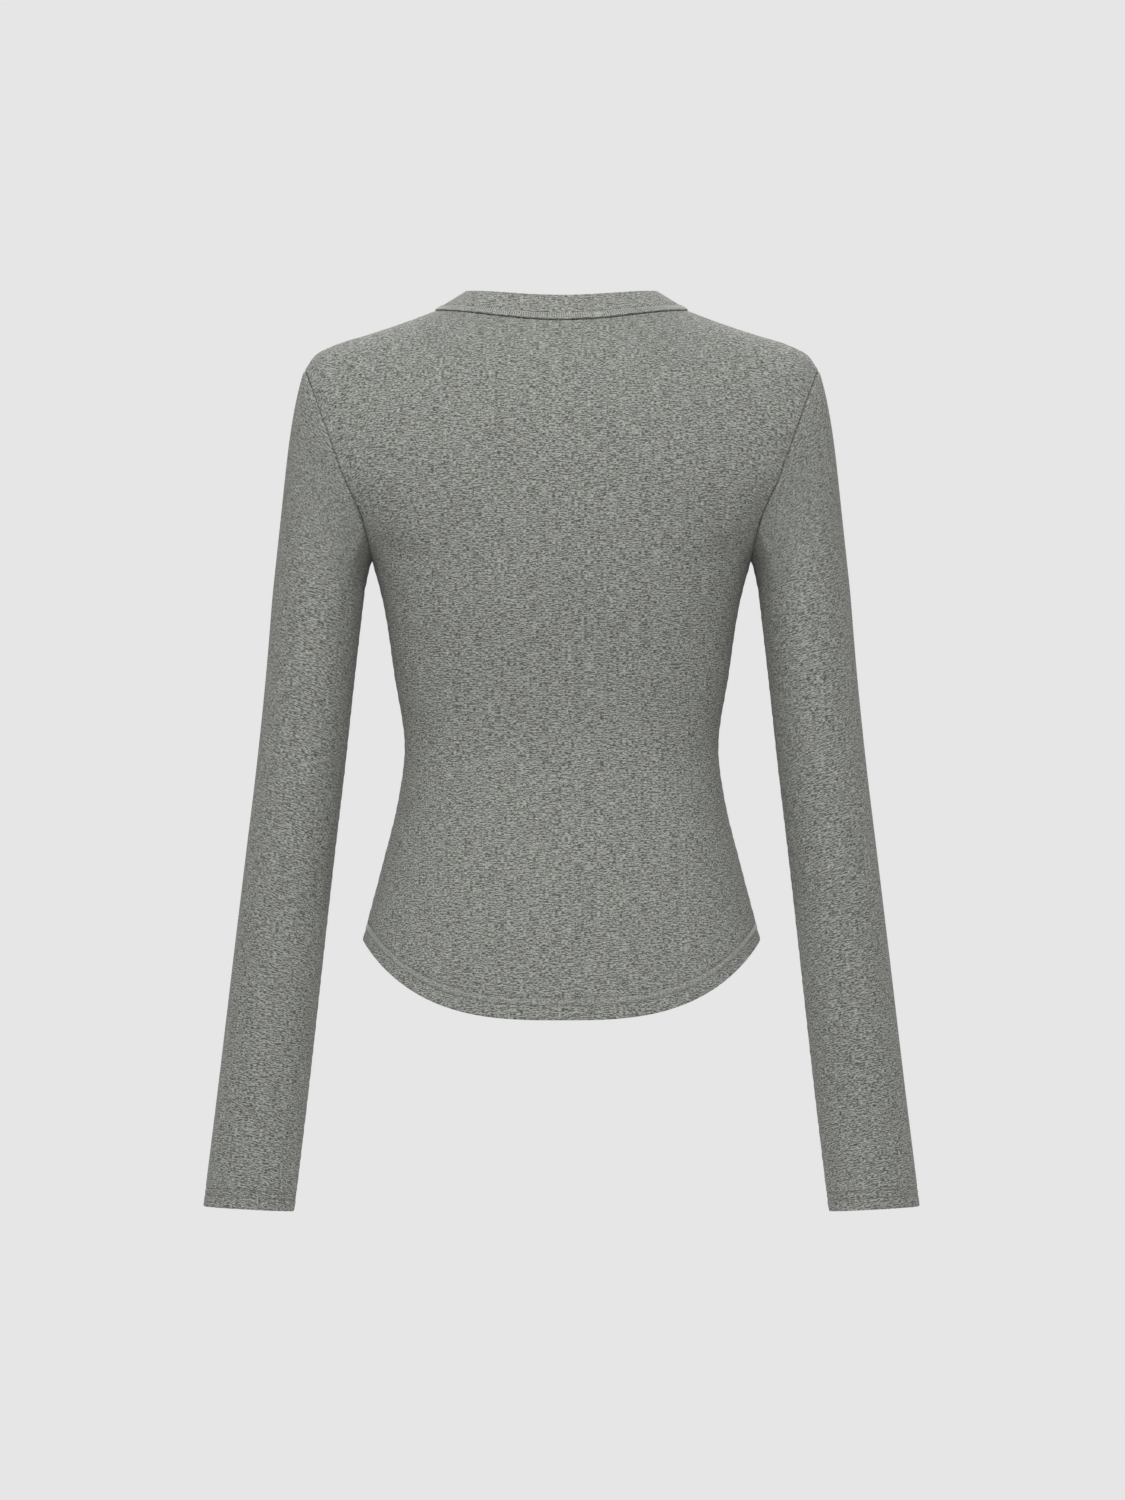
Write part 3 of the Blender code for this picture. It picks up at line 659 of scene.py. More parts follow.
# ---- creases ----
# Soft ridges (height above 0) and troughs (below 0) between two places, in millimetres: name, x1, z1, x2, z2,
# width, height. On a sleeve x is the distance round from the top line, with forward negative.

BACK_CREASES = (
    ("spine ridge", 4, -80, -2, -225, 13, 1.1),
    ("left blade hollow", 34, -85, 28, -190, 16, -0.8),
    ("right blade hollow", -30, -95, -33, -200, 15, -0.9),
    ("left armpit fold", 131, -166, 98, -186, 6.5, -1.3),
    ("left armpit ridge", 128, -152, 100, -166, 7, 0.8),
    ("left low fold", 126, -196, 106, -214, 7.5, -0.7),
    ("right armpit fold", -131, -163, -101, -181, 7, -1.2),
    ("right armpit ridge", -130, -149, -104, -160, 7, 0.7),
    ("right low fold", -126, -190, -98, -213, 8, -0.8),
    ("waist pull left", 104, -305, 60, -318, 9, -0.6),
    ("waist pull right", -106, -324, -66, -331, 10, -0.6),
    ("small of the back", 18, -262, -26, -345, 24, 0.9),
    ("left hip drape", 78, -372, 94, -470, 13, 0.7),
    ("right hip drape", -66, -385, -80, -486, 14, -0.6),
)
FRONT_CREASES = (
    ("left armpit fold", 131, -166, 101, -190, 6.5, -1.2),
    ("left armpit ridge", 129, -150, 103, -167, 7, 0.8),
    ("left bust drag", 120, -184, 86, -205, 8, -0.6),
    ("right armpit fold", -131, -164, -98, -184, 6.5, -1.3),
    ("right armpit ridge", -129, -150, -106, -162, 6.5, 0.7),
    ("right bust drag", -121, -188, -83, -211, 9, -0.6),
    ("left waist pull", 106, -312, 64, -322, 9, -0.6),
    ("right waist pull", -105, -304, -70, -318, 9.5, -0.7),
    ("left hip drape", 60, -376, 74, -465, 13, 0.7),
    ("right hip drape", -70, -368, -79, -470, 12, 0.6),
)
SLEEVE_CREASES = {
    "left": (
        ("underarm fold back", 92, -190, 52, -172, 7, -0.5),
        ("underarm fold front", -94, -196, -50, -170, 7.5, -1.2),
        ("upper drag", 70, -226, 40, -205, 9, 0.6),
        ("inner elbow fold", -88, -372, -40, -384, 6.5, -1.2),
        ("inner elbow ridge", -84, -386, -46, -400, 6.5, 0.8),
        ("inner elbow low fold", -80, -404, -50, -412, 6, -0.7),
        ("outer arm ridge", 58, -452, 50, -585, 8.5, 0.7),
        ("outer arm trough", 30, -470, 34, -610, 8, -0.6),
        ("wrist pull", 84, -590, 60, -625, 7, -0.6),
    ),
    "right": (
        ("underarm fold back", 90, -186, 56, -168, 7.5, -0.6),
        ("underarm fold front", -92, -192, -52, -170, 7, -1.1),
        ("upper drag", 68, -232, 46, -210, 8.5, 0.5),
        ("inner elbow fold", -86, -366, -44, -380, 7, -1.1),
        ("inner elbow ridge", -86, -382, -42, -394, 7, 0.8),
        ("inner elbow low fold", -78, -398, -54, -409, 6, -0.8),
        ("outer arm ridge", 52, -480, 48, -620, 9, 0.8),
        ("outer arm trough", 78, -440, 70, -560, 9, -0.6),
        ("wrist pull", 30, -600, 44, -632, 6.5, 0.5),
    ),
}


CREASE_BOW = 0.08  # how far a crease bends aside, as a share of its length
CREASE_ENDS = (-0.25, 0.35)  # shares of its length over which it fades in


def crease_height(creases, x, z):
    """Height of all these creases at places (x, z): each is a slightly bowed spindle."""
    height = np.zeros(x.shape)
    for _, *sizes in creases:
        x1, z1, x2, z2, width, high = (size / 1000 for size in sizes)
        length = math.hypot(x2 - x1, z2 - z1)
        way_x, way_z = (x2 - x1) / length, (z2 - z1) / length
        along = (x - x1) * way_x + (z - z1) * way_z
        aside = (x - x1) * way_z - (z - z1) * way_x
        bow = CREASE_BOW * length * np.sin(np.clip(along / length, 0, 1) * math.pi)
        fade = smooth(*CREASE_ENDS, along / length) * smooth(*CREASE_ENDS, 1 - along / length)
        height += high * fade * bell(aside - bow, width)
    return height


def lap_height(x):
    """How far the wearer's right front is raised, so that its band lies on the other one."""
    return LAP * smooth(-BAND_HALF - LAP_RAMP, -BAND_HALF, x)


DRAG_DEEP, DRAG_WIDE = 0.0005, 0.024  # depth of the waves between buttons, and how far aside they go


def button_drag(x, z):
    """The small waves between fastened buttons."""
    spacing = (TOP_BUTTON_Z - LOW_BUTTON_Z) / (BUTTONS - 1)
    phase = (z - TOP_BUTTON_Z) / spacing * 2 * math.pi
    return -DRAG_DEEP * np.cos(phase) * bell(x, DRAG_WIDE) * smooth(LOW_BUTTON_Z - 0.02, LOW_BUTTON_Z, z)


def pucker(along, distance, wave=0.0085, depth=0.00016, reach=0.006):
    """Fine uneven ripples that run along a seam and die away from it."""
    ripple = np.sin(2 * math.pi * along / wave) + 0.6 * np.sin(2 * math.pi * along / (wave * 1.83) + 1.3)
    return depth * ripple * bell(distance, reach)


# ---- the cut pieces ----


def finish_body(cloth, edge_distance, middle_column, offset, creases, seams):
    """What the back and the fronts share: UV, hem, seams, creases and ripples. The courses are brought level
    above the armpit, and hang towards the armhole beside it."""
    z = cloth.grid[..., 2]
    line = z[ARMPIT_ROW:, np.argmax(z[-1])]
    steepness = np.sqrt(np.maximum(1 - cloth.normals[ARMPIT_ROW:, np.argmax(z[-1]), 2] ** 2, 0.1))
    climb = np.cumsum(np.diff(line, prepend=line[0]) / steepness)
    above = (cloth.row_at - cloth.row_at[ARMPIT_ROW])[:, None]
    share = np.where(above > 0, 1 - (1 - COURSES_LEVEL) * smooth(*LEVEL_OVER, above), 0)
    rise = cloth.from_low - cloth.from_low[ARMPIT_ROW]
    hang = COURSES_HANG * np.exp(-edge_distance / HANG_REACH) * smooth(*HANG_OVER, above)
    cloth.lay_uv(middle_column, ARMPIT_ROW, share * (np.interp(z, line, climb) - rise) + hang, offset)
    for distance in seams:
        cloth.move(pucker(z, distance))
        cloth.armhole_seam(distance)
    at_neck = np.abs(cloth.grid[-1, :, 0]) < NECK_HALF - 1e-6
    shoulder = np.where(at_neck, 1.0, cloth.from_high)
    cloth.sink(shoulder)
    cloth.round_edge(shoulder)
    cloth.dive(np.where(at_neck, cloth.from_high, 1.0))
    cloth.move(crease_height(creases, cloth.grid[..., 0], z))
    cloth.turn_up(cloth.row_at[:, None], HEM_ROWS, HEM_DEEP)


def fasten(cloth, over):
    """The waves between the buttons, and the lap where this cloth goes over the other side's."""
    x, _, z = np.moveaxis(cloth.grid, -1, 0)
    if over:
        cloth.move(lap_height(x))
    cloth.move(button_drag(x, z))


def finish_strip(strip):
    """A front band: its rows of stitches, its folded edges, and its upper end under the neckband's lip."""
    strip.lay_uv(strip.grid.shape[1] // 2, ARMPIT_ROW, offset=(0.9, 0.1))
    for distance in (strip.from_left, strip.from_right):
        strip.outer -= NEEDLE_SINK * bell(distance - BAND_EDGE_ROW, NEEDLE_REACH)
        strip.round_edge(distance, CLOTH)
    strip.dive(strip.from_high)
    strip.round_edge(strip.from_low, CLOTH)


def finish_neckband(ring):
    """The neckband: its upper end's lap, its puckered seam, its cover stitch and its rolled lip."""
    ring.lay_uv(ring.grid.shape[1] // 2, 0, offset=(0.0, 0.7))
    x, y, _ = ring.grid[0].T
    upper_end = (np.arange(len(x)) > len(x) // 2) & (y < 0)
    ring.move(np.where(upper_end, lap_height(x), 0.0))
    ring.move(pucker(ring.from_left, ring.from_low, wave=0.0047, depth=0.00007))
    at = ring.row_at[:, None]
    low, high = LADDER_LOW + LADDER_SOFT_LOW, LADDER_HIGH - LADDER_SOFT_HIGH
    ladder = smooth(LADDER_LOW, low, at) * smooth(-LADDER_HIGH, -high, -at)
    ring.outer += NECKBAND_PROUD * (1 - smooth(0.0, NECKBAND_EVEN, ring.from_low))
    ring.outer -= LADDER_SINK * ladder + GROOVE_SINK * bell(at - LADDER_GROOVE, GROOVE_REACH)
    ring.roll_under()
    for distance in (ring.from_high, ring.from_left, ring.from_right):
        ring.round_edge(distance, CLOTH)
    ring.uv[..., 1] = ring.uv[0, :, 1] + distances(ring.face())


def finish_sleeve(arm, creases, shift):
    """A sleeve: its courses, which fall towards the underarm, its creases, its seams and its cuff."""
    z = arm.grid[..., 2]
    u = arm.from_left - arm.from_left[:, arm.grid.shape[1] // 2][:, None]
    slope = COURSES_FALL * (1 - FALL_LESS * smooth(*FALL_OVER, arm.row_at))
    fall = slope[:, None] * (np.hypot(u, FALL_SOFT) - FALL_SOFT)
    v = fall - (arm.from_low - arm.from_low[np.searchsorted(arm.row_at, CAP_LENGTH)])
    arm.uv = np.stack([u + shift, v], axis=-1)
    arm.move(crease_height(creases, 0 * z + arm.column_at, z))
    arm.move(pucker(arm.from_left, arm.from_low) + pucker(arm.from_low, arm.from_side))
    arm.armhole_seam(arm.from_low)
    arm.sink(arm.from_side)
    arm.turn_up((arm.row_at[-1] - arm.row_at)[:, None], CUFF_ROWS, CUFF_DEEP)


def make_cloth():
    """Every piece of cloth, with its faces worked out."""
    back_half, front_half = half_panel(BACK), half_panel(FRONT, BAND_HALF)
    back_grid = np.concatenate([mirrored(back_half), back_half[:, 1:]], axis=1)
    out = ACROSS * PANEL_HALF
    both = np.concatenate([-out[::-1], out[1:]])
    sleeve, *sleeve_at = sleeve_grid(back_half, front_half)
    band, band_at = front_band_grid(front_half)
    pieces = {
        "back": Cloth(back_grid, ROW_AT, both, outward=-1),
        "front_left": Cloth(front_half, ROW_AT, out),
        "front_right": Cloth(mirrored(front_half), ROW_AT, -out[::-1]),
        "sleeve_left": Cloth(sleeve, *sleeve_at, outward=-1, tube=True),
        "sleeve_right": Cloth(sleeve * (-1, 1, 1), *sleeve_at, tube=True),
        "neckband": Cloth(*neckband_grid(), DOUBLE),
        "button_band": Cloth(band, ROW_AT, band_at, DOUBLE),
        "buttonhole_band": Cloth(band, ROW_AT, band_at, DOUBLE),
    }
    back, left, right = body = [pieces[name] for name in ("back", "front_left", "front_right")]
    for cloth in body:
        ease_armpit(cloth)
    share_seam_normals(pieces.values())
    for name in ("front_left", "front_right", "button_band", "buttonhole_band"):
        fasten(pieces[name], over=name in ("front_right", "buttonhole_band"))
    for cloth, middle_column, offset, creases, edge, *seams in (
        (back, len(ACROSS) - 1, (0, 0), BACK_CREASES, back.from_side, back.from_left, back.from_right),
        (left, 0, (0.5, 0.3), FRONT_CREASES, left.from_right, left.from_right, left.from_left),
        (right, -1, (-0.5, 0.3), FRONT_CREASES, right.from_left, right.from_left, right.from_right),
    ):
        finish_body(cloth, edge, middle_column, offset, creases, seams)
    for name in ("button_band", "buttonhole_band"):
        finish_strip(pieces[name])
    finish_neckband(pieces["neckband"])
    for name, shift in (("left", 1.4), ("right", -1.4)):
        finish_sleeve(pieces[f"sleeve_{name}"], SLEEVE_CREASES[name], shift)
    return pieces


# ---- materials ----


class Nodes:
    """A node tree, with short calls to add to it. An input is given a number or another node's output."""

    def __init__(self, tree):
        self.tree = tree

    def add(self, kind, inputs=None, **settings):
        node = self.tree.nodes.new(kind)
        for key, value in settings.items():
            setattr(node, key, value)
        return self.feed(node, inputs or {})

    def feed(self, node, inputs):
        for key, value in inputs.items():
            if isinstance(value, bpy.types.NodeSocket):
                self.tree.links.new(value, node.inputs[key])
            else:
                node.inputs[key].default_value = value
        return node

    def math(self, operation, a, b=0.0):
        return self.add("ShaderNodeMath", {0: a, 1: b}, operation=operation).outputs[0]

    def total(self, *terms):
        """The sum of terms, each of them (output, weight)."""
        first, *others = (self.math("MULTIPLY", output, weight) for output, weight in terms)
        for other in others:
            first = self.math("ADD", first, other)
        return first

    def noise(self, vector, scale, detail=2.0, roughness=0.5):
        inputs = {"Vector": vector, "Scale": scale, "Detail": detail, "Roughness": roughness}
        return self.add("ShaderNodeTexNoise", inputs).outputs["Fac"]

    def flecks(self, vector, across, up):
        """Noise with flecks of about this length and height."""
        sized = self.add("ShaderNodeMapping", {"Vector": vector, "Scale": (1 / across, 1 / up, 1.0)})
        return self.noise(sized.outputs[0], 1.0, 1.0)

    def ramp(self, factor, *stops):
        node = self.add("ShaderNodeValToRGB", {"Fac": factor})
        elements = node.color_ramp.elements
        for index, (place, colour) in enumerate(stops):
            element = elements[index] if index < 2 else elements.new(place)
            element.position = place
            element.color = colour + (1.0,)
        return node.outputs["Color"]

    def bump(self, height, distance, **normal):
        inputs = {"Height": height, "Distance": distance, "Strength": 1.0, **normal}
        return self.add("ShaderNodeBump", inputs).outputs["Normal"]

    def blend(self, factor, a, b):
        """One shader fading into another."""
        return self.add("ShaderNodeMixShader", {0: factor, 1: a, 2: b}).outputs[0]


def new_material(name):
    """(material, its nodes, its shader)"""
    material = bpy.data.materials.new(name)
    material.use_nodes = True
    nodes = Nodes(material.node_tree)
    return material, nodes, nodes.tree.nodes["Principled BSDF"]


# The heather yarn's dark, light and middle fibres: where each lies in the pattern of flecks, and its colour
FIBRE_STOPS = (
    (0.435, (0.098, 0.102, 0.090)),
    (0.565, (0.480, 0.492, 0.455)),
    (0.500, (0.265, 0.273, 0.248)),
)
# Flecks along the courses: length, height, and how much each kind counts
FLECKS = ((0.0023, 0.00070, 0.47), (0.00092, 0.00056, 0.25), (0.00805, 0.00077, 0.28))
BROAD_FLECK, BROAD_SHARE = (0.030, 0.012), 0.03
WANDER_FLECK, WANDER = (0.009, 0.006), 0.0018  # how the courses stray up and down
WALE = 0.00085
COURSE = 0.00065
COURSE_SLANT = 0.8  # how many courses a loop's leg rises
COURSE_SHARE = 0.35  # how much the courses count in the knit's relief, against the wales
FIBRE_RELIEF = 0.0006
KNIT_RELIEF = 0.00004


def jersey_material():
    """Heather grey jersey: streaks of dark and light fibre along the courses, over a fine knit."""
    material, nodes, shader = new_material("heather jersey")
    uv = nodes.add("ShaderNodeUVMap", uv_map="cloth").outputs["UV"]
    u, v, _ = nodes.add("ShaderNodeSeparateXYZ", {0: uv}).outputs
    wander = nodes.math("SUBTRACT", nodes.flecks(uv, *WANDER_FLECK), 0.5)
    wavy = nodes.math("ADD", v, nodes.math("MULTIPLY", wander, WANDER))
    laid = nodes.add("ShaderNodeCombineXYZ", {0: u, 1: wavy}).outputs[0]
    terms = [(nodes.flecks(laid, long, high), share) for long, high, share in FLECKS]
    broad = nodes.math("SUBTRACT", nodes.flecks(uv, *BROAD_FLECK), 0.5)
    fibre = nodes.total(*terms, (broad, BROAD_SHARE))
    colour = nodes.ramp(fibre, *FIBRE_STOPS)
    wale = nodes.math("DIVIDE", nodes.math("PINGPONG", u, WALE / 2), WALE / 2)
    slant = nodes.math("ADD", v, nodes.math("MULTIPLY", wale, COURSE * COURSE_SLANT))
    course = nodes.math("SINE", nodes.math("MULTIPLY", slant, 2 * math.pi / COURSE))
    rib = nodes.math("SINE", nodes.math("MULTIPLY", wale, math.pi))
    knit = nodes.math("ADD", nodes.math("MULTIPLY", course, COURSE_SHARE), rib)
    normal = nodes.bump(fibre, FIBRE_RELIEF, Normal=nodes.bump(knit, KNIT_RELIEF))
    nodes.feed(shader, {"Base Color": colour, "Roughness": 0.92, "Normal": normal})
    nodes.feed(shader, {"Specular IOR Level": 0.22, "Sheen Weight": 0.12, "Sheen Roughness": 0.45})
    return material


THREAD_SHADE = 0.62  # of a thread's colour where its twist is dark
THREAD_COLOURS = {
    "light": (0.640, 0.650, 0.605),
    "grey": (0.250, 0.256, 0.234),
    # near-black thread, used only for the neckband's join: a real join whose dark line of seam shade is painted
    # into the thread's colour
    "dark": (0.085, 0.088, 0.080),
}


def thread_material(name, colour):
    """Spun sewing thread: a fine twist and a slight sheen."""
    material, nodes, shader = new_material(f"{name} thread")
    place = nodes.add("ShaderNodeTexCoord").outputs["Object"]
    twist = nodes.noise(place, 2600.0)
    dark = tuple(THREAD_SHADE * c for c in colour)
    mixed = nodes.add("ShaderNodeMix", {0: twist, 6: dark + (1.0,), 7: colour + (1.0,)}, data_type="RGBA")
    nodes.feed(shader, {"Base Color": mixed.outputs[2], "Roughness": 0.62})
    nodes.feed(shader, {"Normal": nodes.bump(twist, 0.00015), "Sheen Weight": 0.15})
    return material


def button_material():
    """Moulded grey plastic with a faint swirl and a softly polished surface."""
    material, nodes, shader = new_material("button plastic")
    place = nodes.add("ShaderNodeTexCoord").outputs["Object"]
    swirl = nodes.noise(place, 260.0, 3.0, 0.55)
    colour = nodes.ramp(swirl, (0.35, (0.060, 0.062, 0.058)), (0.68, (0.150, 0.153, 0.143)))
    rough = nodes.math("ADD", nodes.math("MULTIPLY", swirl, 0.12), 0.26)
    normal = nodes.bump(nodes.noise(place, 1900.0), 0.00002)
    nodes.feed(shader, {"Base Color": colour, "Roughness": rough, "Normal": normal})
    return material


# ---- stitching ----

THREAD = 0.00026  # radius of the sewing thread
THREAD_SIDES = 4
THREAD_DIP = 0.55  # how many radii a stitch's ends go into the cloth
THREAD_TAPER = 0.45  # how much thinner they are
BAR_PARTS = 3
LADDER_PITCH = 0.0017
LADDER_SLANT = 0.0004
TACK_PITCH = 0.0009
TACK_FROM, TACK_TO = 0.0232, 0.0262  # the neckband's back-tack, from the centre back to the wearer's right
JOIN_PITCH = 0.0005
JOIN_TOP, JOIN_FOOT = 0.0515, 0.0560  # the slanting join of its cover stitch, sewn in near-black thread whose colour paints the shade along that seam
HEM_PITCH = 0.0025
TICK_PITCH = 0.0011
LOOPER_PITCH = 0.0024


def turns(sides, shift=0.0):
    """(cosine, sine) of even turns all the way round."""
    angles = [2 * math.pi * (k + shift) / sides for k in range(sides)]
    return [(math.cos(angle), math.sin(angle)) for angle in angles]


def add_skin(mesh, rings):
    """Adds a closed tube through rings of points."""
    rings = [[mesh.verts.new(point) for point in ring] for ring in rings]
    for low, high in zip(rings, rings[1:]):
        for k in range(len(low)):
            m = (k + 1) % len(low)
            mesh.faces.new((low[k], low[m], high[m], high[k]))
    mesh.faces.new(rings[0][::-1])
    mesh.faces.new(rings[-1])


def add_bar(mesh, start, end, radius, rise):
    """Adds a bent length of thread from start to end, in a stitch's own plane, that bows up by rise radii
    and dips into the cloth at both ends."""
    start, end = np.array(start, float), np.array(end, float)
    along = unit(end - start)
    aside, upward = np.array([-along[1], along[0], 0]), np.array([0, 0, 1])
    rings = []
    for t in np.linspace(0, 1, BAR_PARTS + 1):
        bow = math.sin(math.pi * t)
        middle = np.append(start + (end - start) * t, radius * ((rise + THREAD_DIP) * bow - THREAD_DIP))
        width = radius * (1 - THREAD_TAPER * (1 - bow))
        rings.append([middle + width * (aside * c + upward * s) for c, s in turns(THREAD_SIDES, 0.5)])
    add_skin(mesh, rings)


def add_tube(mesh, points, radius, sides):
    """Adds a round tube along points."""
    points = np.array(points, float)
    along = unit(np.gradient(points, axis=0))
    aside = unit(np.cross(along, (0.12, 1.0, 0.31)))
    upward = np.cross(aside, along)
    round_tube = turns(sides)
    lines = zip(points, aside, upward)
    add_skin(mesh, [[middle + radius * (a * c + b * s) for c, s in round_tube] for middle, a, b in lines])


def stitch_unit(name, bars, radius, rise):
    """One repeat of a stitch as a hidden object: bars are (start, end) pairs in the plane of the cloth."""
    mesh = bmesh.new()
    for start, end in bars:
        add_bar(mesh, start, end, radius, rise)
    made = placed(name, mesh_data(mesh, name))
    made.hide_render = True
    return made


def stitching_tree():
    """Geometry Nodes that set a stitch at even steps along a path and turn it to lie on the cloth."""
    tree = bpy.data.node_groups.new("row of stitches", "GeometryNodeTree")
    kinds = {"Path": "Geometry", "Pitch": "Float", "Unevenness": "Float", "Seed": "Int", "Stitch": "Object"}
    kinds["Thread"] = "Material"
    keys = {}
    for name, kind in kinds.items():
        socket = tree.interface.new_socket(name, in_out="INPUT", socket_type=f"NodeSocket{kind}")
        keys[name] = socket.identifier
    tree.interface.new_socket("Stitching", in_out="OUTPUT", socket_type="NodeSocketGeometry")
    nodes = Nodes(tree)
    given = nodes.add("NodeGroupInput").outputs
    curve = nodes.add("GeometryNodeMeshToCurve", {"Mesh": given["Path"]}).outputs["Curve"]
    steps = {"Curve": curve, "Length": given["Pitch"]}
    even = nodes.add("GeometryNodeResampleCurve", steps, mode="LENGTH").outputs["Curve"]
    named = nodes.add("GeometryNodeInputNamedAttribute", {"Name": "outward"}, data_type="FLOAT_VECTOR")
    tangent = nodes.add("GeometryNodeInputTangent").outputs["Tangent"]
    axes = {"Primary Axis": tangent, "Secondary Axis": named.outputs["Attribute"]}
    turn = nodes.add("FunctionNodeAxesToRotation", axes, primary_axis="X", secondary_axis="Z")
    less, more = (nodes.math(operation, 1.0, given["Unevenness"]) for operation in ("SUBTRACT", "ADD"))
    sizes = {2: less, 3: more, "Seed": given["Seed"]}
    wobble = nodes.add("FunctionNodeRandomValue", sizes, data_type="FLOAT").outputs[1]
    stitch = nodes.add("GeometryNodeObjectInfo", {"Object": given["Stitch"]}).outputs["Geometry"]
    laid = {"Points": even, "Instance": stitch, "Rotation": turn.outputs["Rotation"], "Scale": wobble}
    placed_stitches = nodes.add("GeometryNodeInstanceOnPoints", laid).outputs["Instances"]
    real = nodes.add("GeometryNodeRealizeInstances", {"Geometry": placed_stitches}).outputs["Geometry"]
    coated = nodes.add("GeometryNodeSetMaterial", {"Geometry": real, "Material": given["Thread"]})
    nodes.add("NodeGroupOutput", {"Stitching": coated.outputs["Geometry"]})
    return tree, keys


class Needle:
    """Sews rows of stitches: each row is a path on the cloth, and each piece of stitching joins some rows."""

    def __init__(self, threads):
        self.tree, self.keys = stitching_tree()
        self.threads = threads
        self.sewn = []

    def sew(self, name, paths, stitch, pitch, thread, unevenness=0.08):
        """Stitching along paths, each of them (points, normals)."""
        points, normals, edges = [], [], []
        for path_points, path_normals in paths:
            first = len(points)
            points.extend(path_points)
            normals.extend(path_normals)
            edges.extend((i, i + 1) for i in range(first, len(points) - 1))
        data = bpy.data.meshes.new(name)
        data.from_pydata([tuple(p) for p in points], edges, [])
        outward = data.attributes.new("outward", "FLOAT_VECTOR", "POINT")
        outward.data.foreach_set("vector", np.array(normals, np.float32).ravel())
        path = placed(f"{name} path", data)
        rows = path.modifiers.new("stitches", "NODES")
        rows.node_group = self.tree
        values = {"Pitch": pitch, "Unevenness": unevenness, "Seed": len(self.sewn) + 1}
        values.update(Stitch=stitch, Thread=self.threads[thread])
        for key, value in values.items():
            rows[self.keys[key]] = value
        self.sewn.append(placed(name, evaluated_mesh(path)))


def clipped(path, margin):
    """A path without this share of its points at each end."""
    points, normals = path
    first, last = int(margin * len(points)), int(round((1 - margin) * len(points)))
    return points[first:last], normals[first:last]


def sew_all(pieces, threads):
    """All the stitching, as a list of objects."""
    middle = (LADDER_LOW + LADDER_HIGH) / 2
    half, up = LADDER_PITCH / 2, (LADDER_HIGH - LADDER_LOW) / 2
    hem_middle, inner = sum(HEM_ROWS) / 2, (HEM_ROWS[1] - HEM_ROWS[0]) / 2
    rungs = [((-LADDER_SLANT, up), (LADDER_SLANT, -up))]
    rungs += [((-half * 0.9, y), (half * 0.8, y)) for y in (up, -up)]
    crossed = [((-0.0008, up * 1.15), (0.0006, -up * 1.35)), ((0.0008, up * 1.1), (-0.0004, -up * 1.35))]
    loops = [((-0.0012, -inner), (0.0, inner)), ((0.0, inner), (0.0012, -inner))]
    plain, tick, ladder, tack, join, looper = units = [
        stitch_unit(name, bars, THREAD * thick, rise)
        for name, bars, thick, rise in (
            ("plain stitch", [((-0.00098, 0), (0.00098, 0))], 1.0, 0.8),
            ("cross tick", [((0, -0.0024), (0.0003, 0.0024))], 0.62, 0.4),
            ("cover stitch", rungs, 1.25, 1.5),
            ("tack", crossed, 1.3, 1.4),
            ("join", [((-0.0003, 0), (0.0003, 0))], 1.3, 1.0),
            ("looper stitch", loops, 0.9, 0.7),
        )
    ]
    needle = Needle(threads)
    neckband = pieces["neckband"]
    centre = neckband.column_at[len(neckband.column_at) // 2]

    def over_neckband(rows, columns):
        spots = [neckband.spot(row, centre + column) for row, column in zip(rows, columns)]
        return [tuple(map(np.array, zip(*spots)))]

    tack_path = over_neckband([middle] * 7, np.linspace(TACK_FROM, TACK_TO, 7))
    join_rows = np.linspace(LADDER_GROOVE, LIP_ROLL - NECK_LIP, 9)
    join_path = over_neckband(join_rows, np.linspace(JOIN_TOP, JOIN_FOOT, 9))
    needle.sew("neckband_ladder", [neckband.row(middle)], ladder, LADDER_PITCH, "light", 0.06)
    needle.sew("neckband_tack", tack_path, tack, TACK_PITCH, "light", 0.12)
    # the join in near-black thread: real stitches carrying a painted line of seam shade
    needle.sew("neckband_join", join_path, join, JOIN_PITCH, "dark", 0.1)
    for name in ("back", "front_left", "front_right"):
        piece = pieces[name]
        rows = [clipped(piece.row(at), 0.004) for at in HEM_ROWS]
        needle.sew(f"{name}_hem_rows", rows, plain, HEM_PITCH, "grey")
        needle.sew(f"{name}_hem_ticks", [clipped(piece.row(hem_middle), 0.01)], tick, TICK_PITCH, "light")
        points, normals = clipped(piece.row(hem_middle, inside=True), 0.01)
        needle.sew(f"{name}_hem_inside", [(points, -normals)], looper, LOOPER_PITCH, "grey")
    for side in ("left", "right"):
        arm = pieces[f"sleeve_{side}"]
        rows = [arm.row(arm.row_at[-1] - at) for at in CUFF_ROWS]
        needle.sew(f"cuff_{side}_rows", rows, plain, HEM_PITCH, "grey")
    for name in ("button_band", "buttonhole_band"):
        rows = [pieces[name].line(at) for at in (BAND_EDGE_ROW, 2 * BAND_HALF - BAND_EDGE_ROW)]
        needle.sew(f"{name}_rows", [clipped(row, 0.006) for row in rows], plain, HEM_PITCH, "grey")
    for unit_object in units:
        bpy.data.objects.remove(unit_object)
    return needle.sewn


# ---- buttons and buttonholes ----

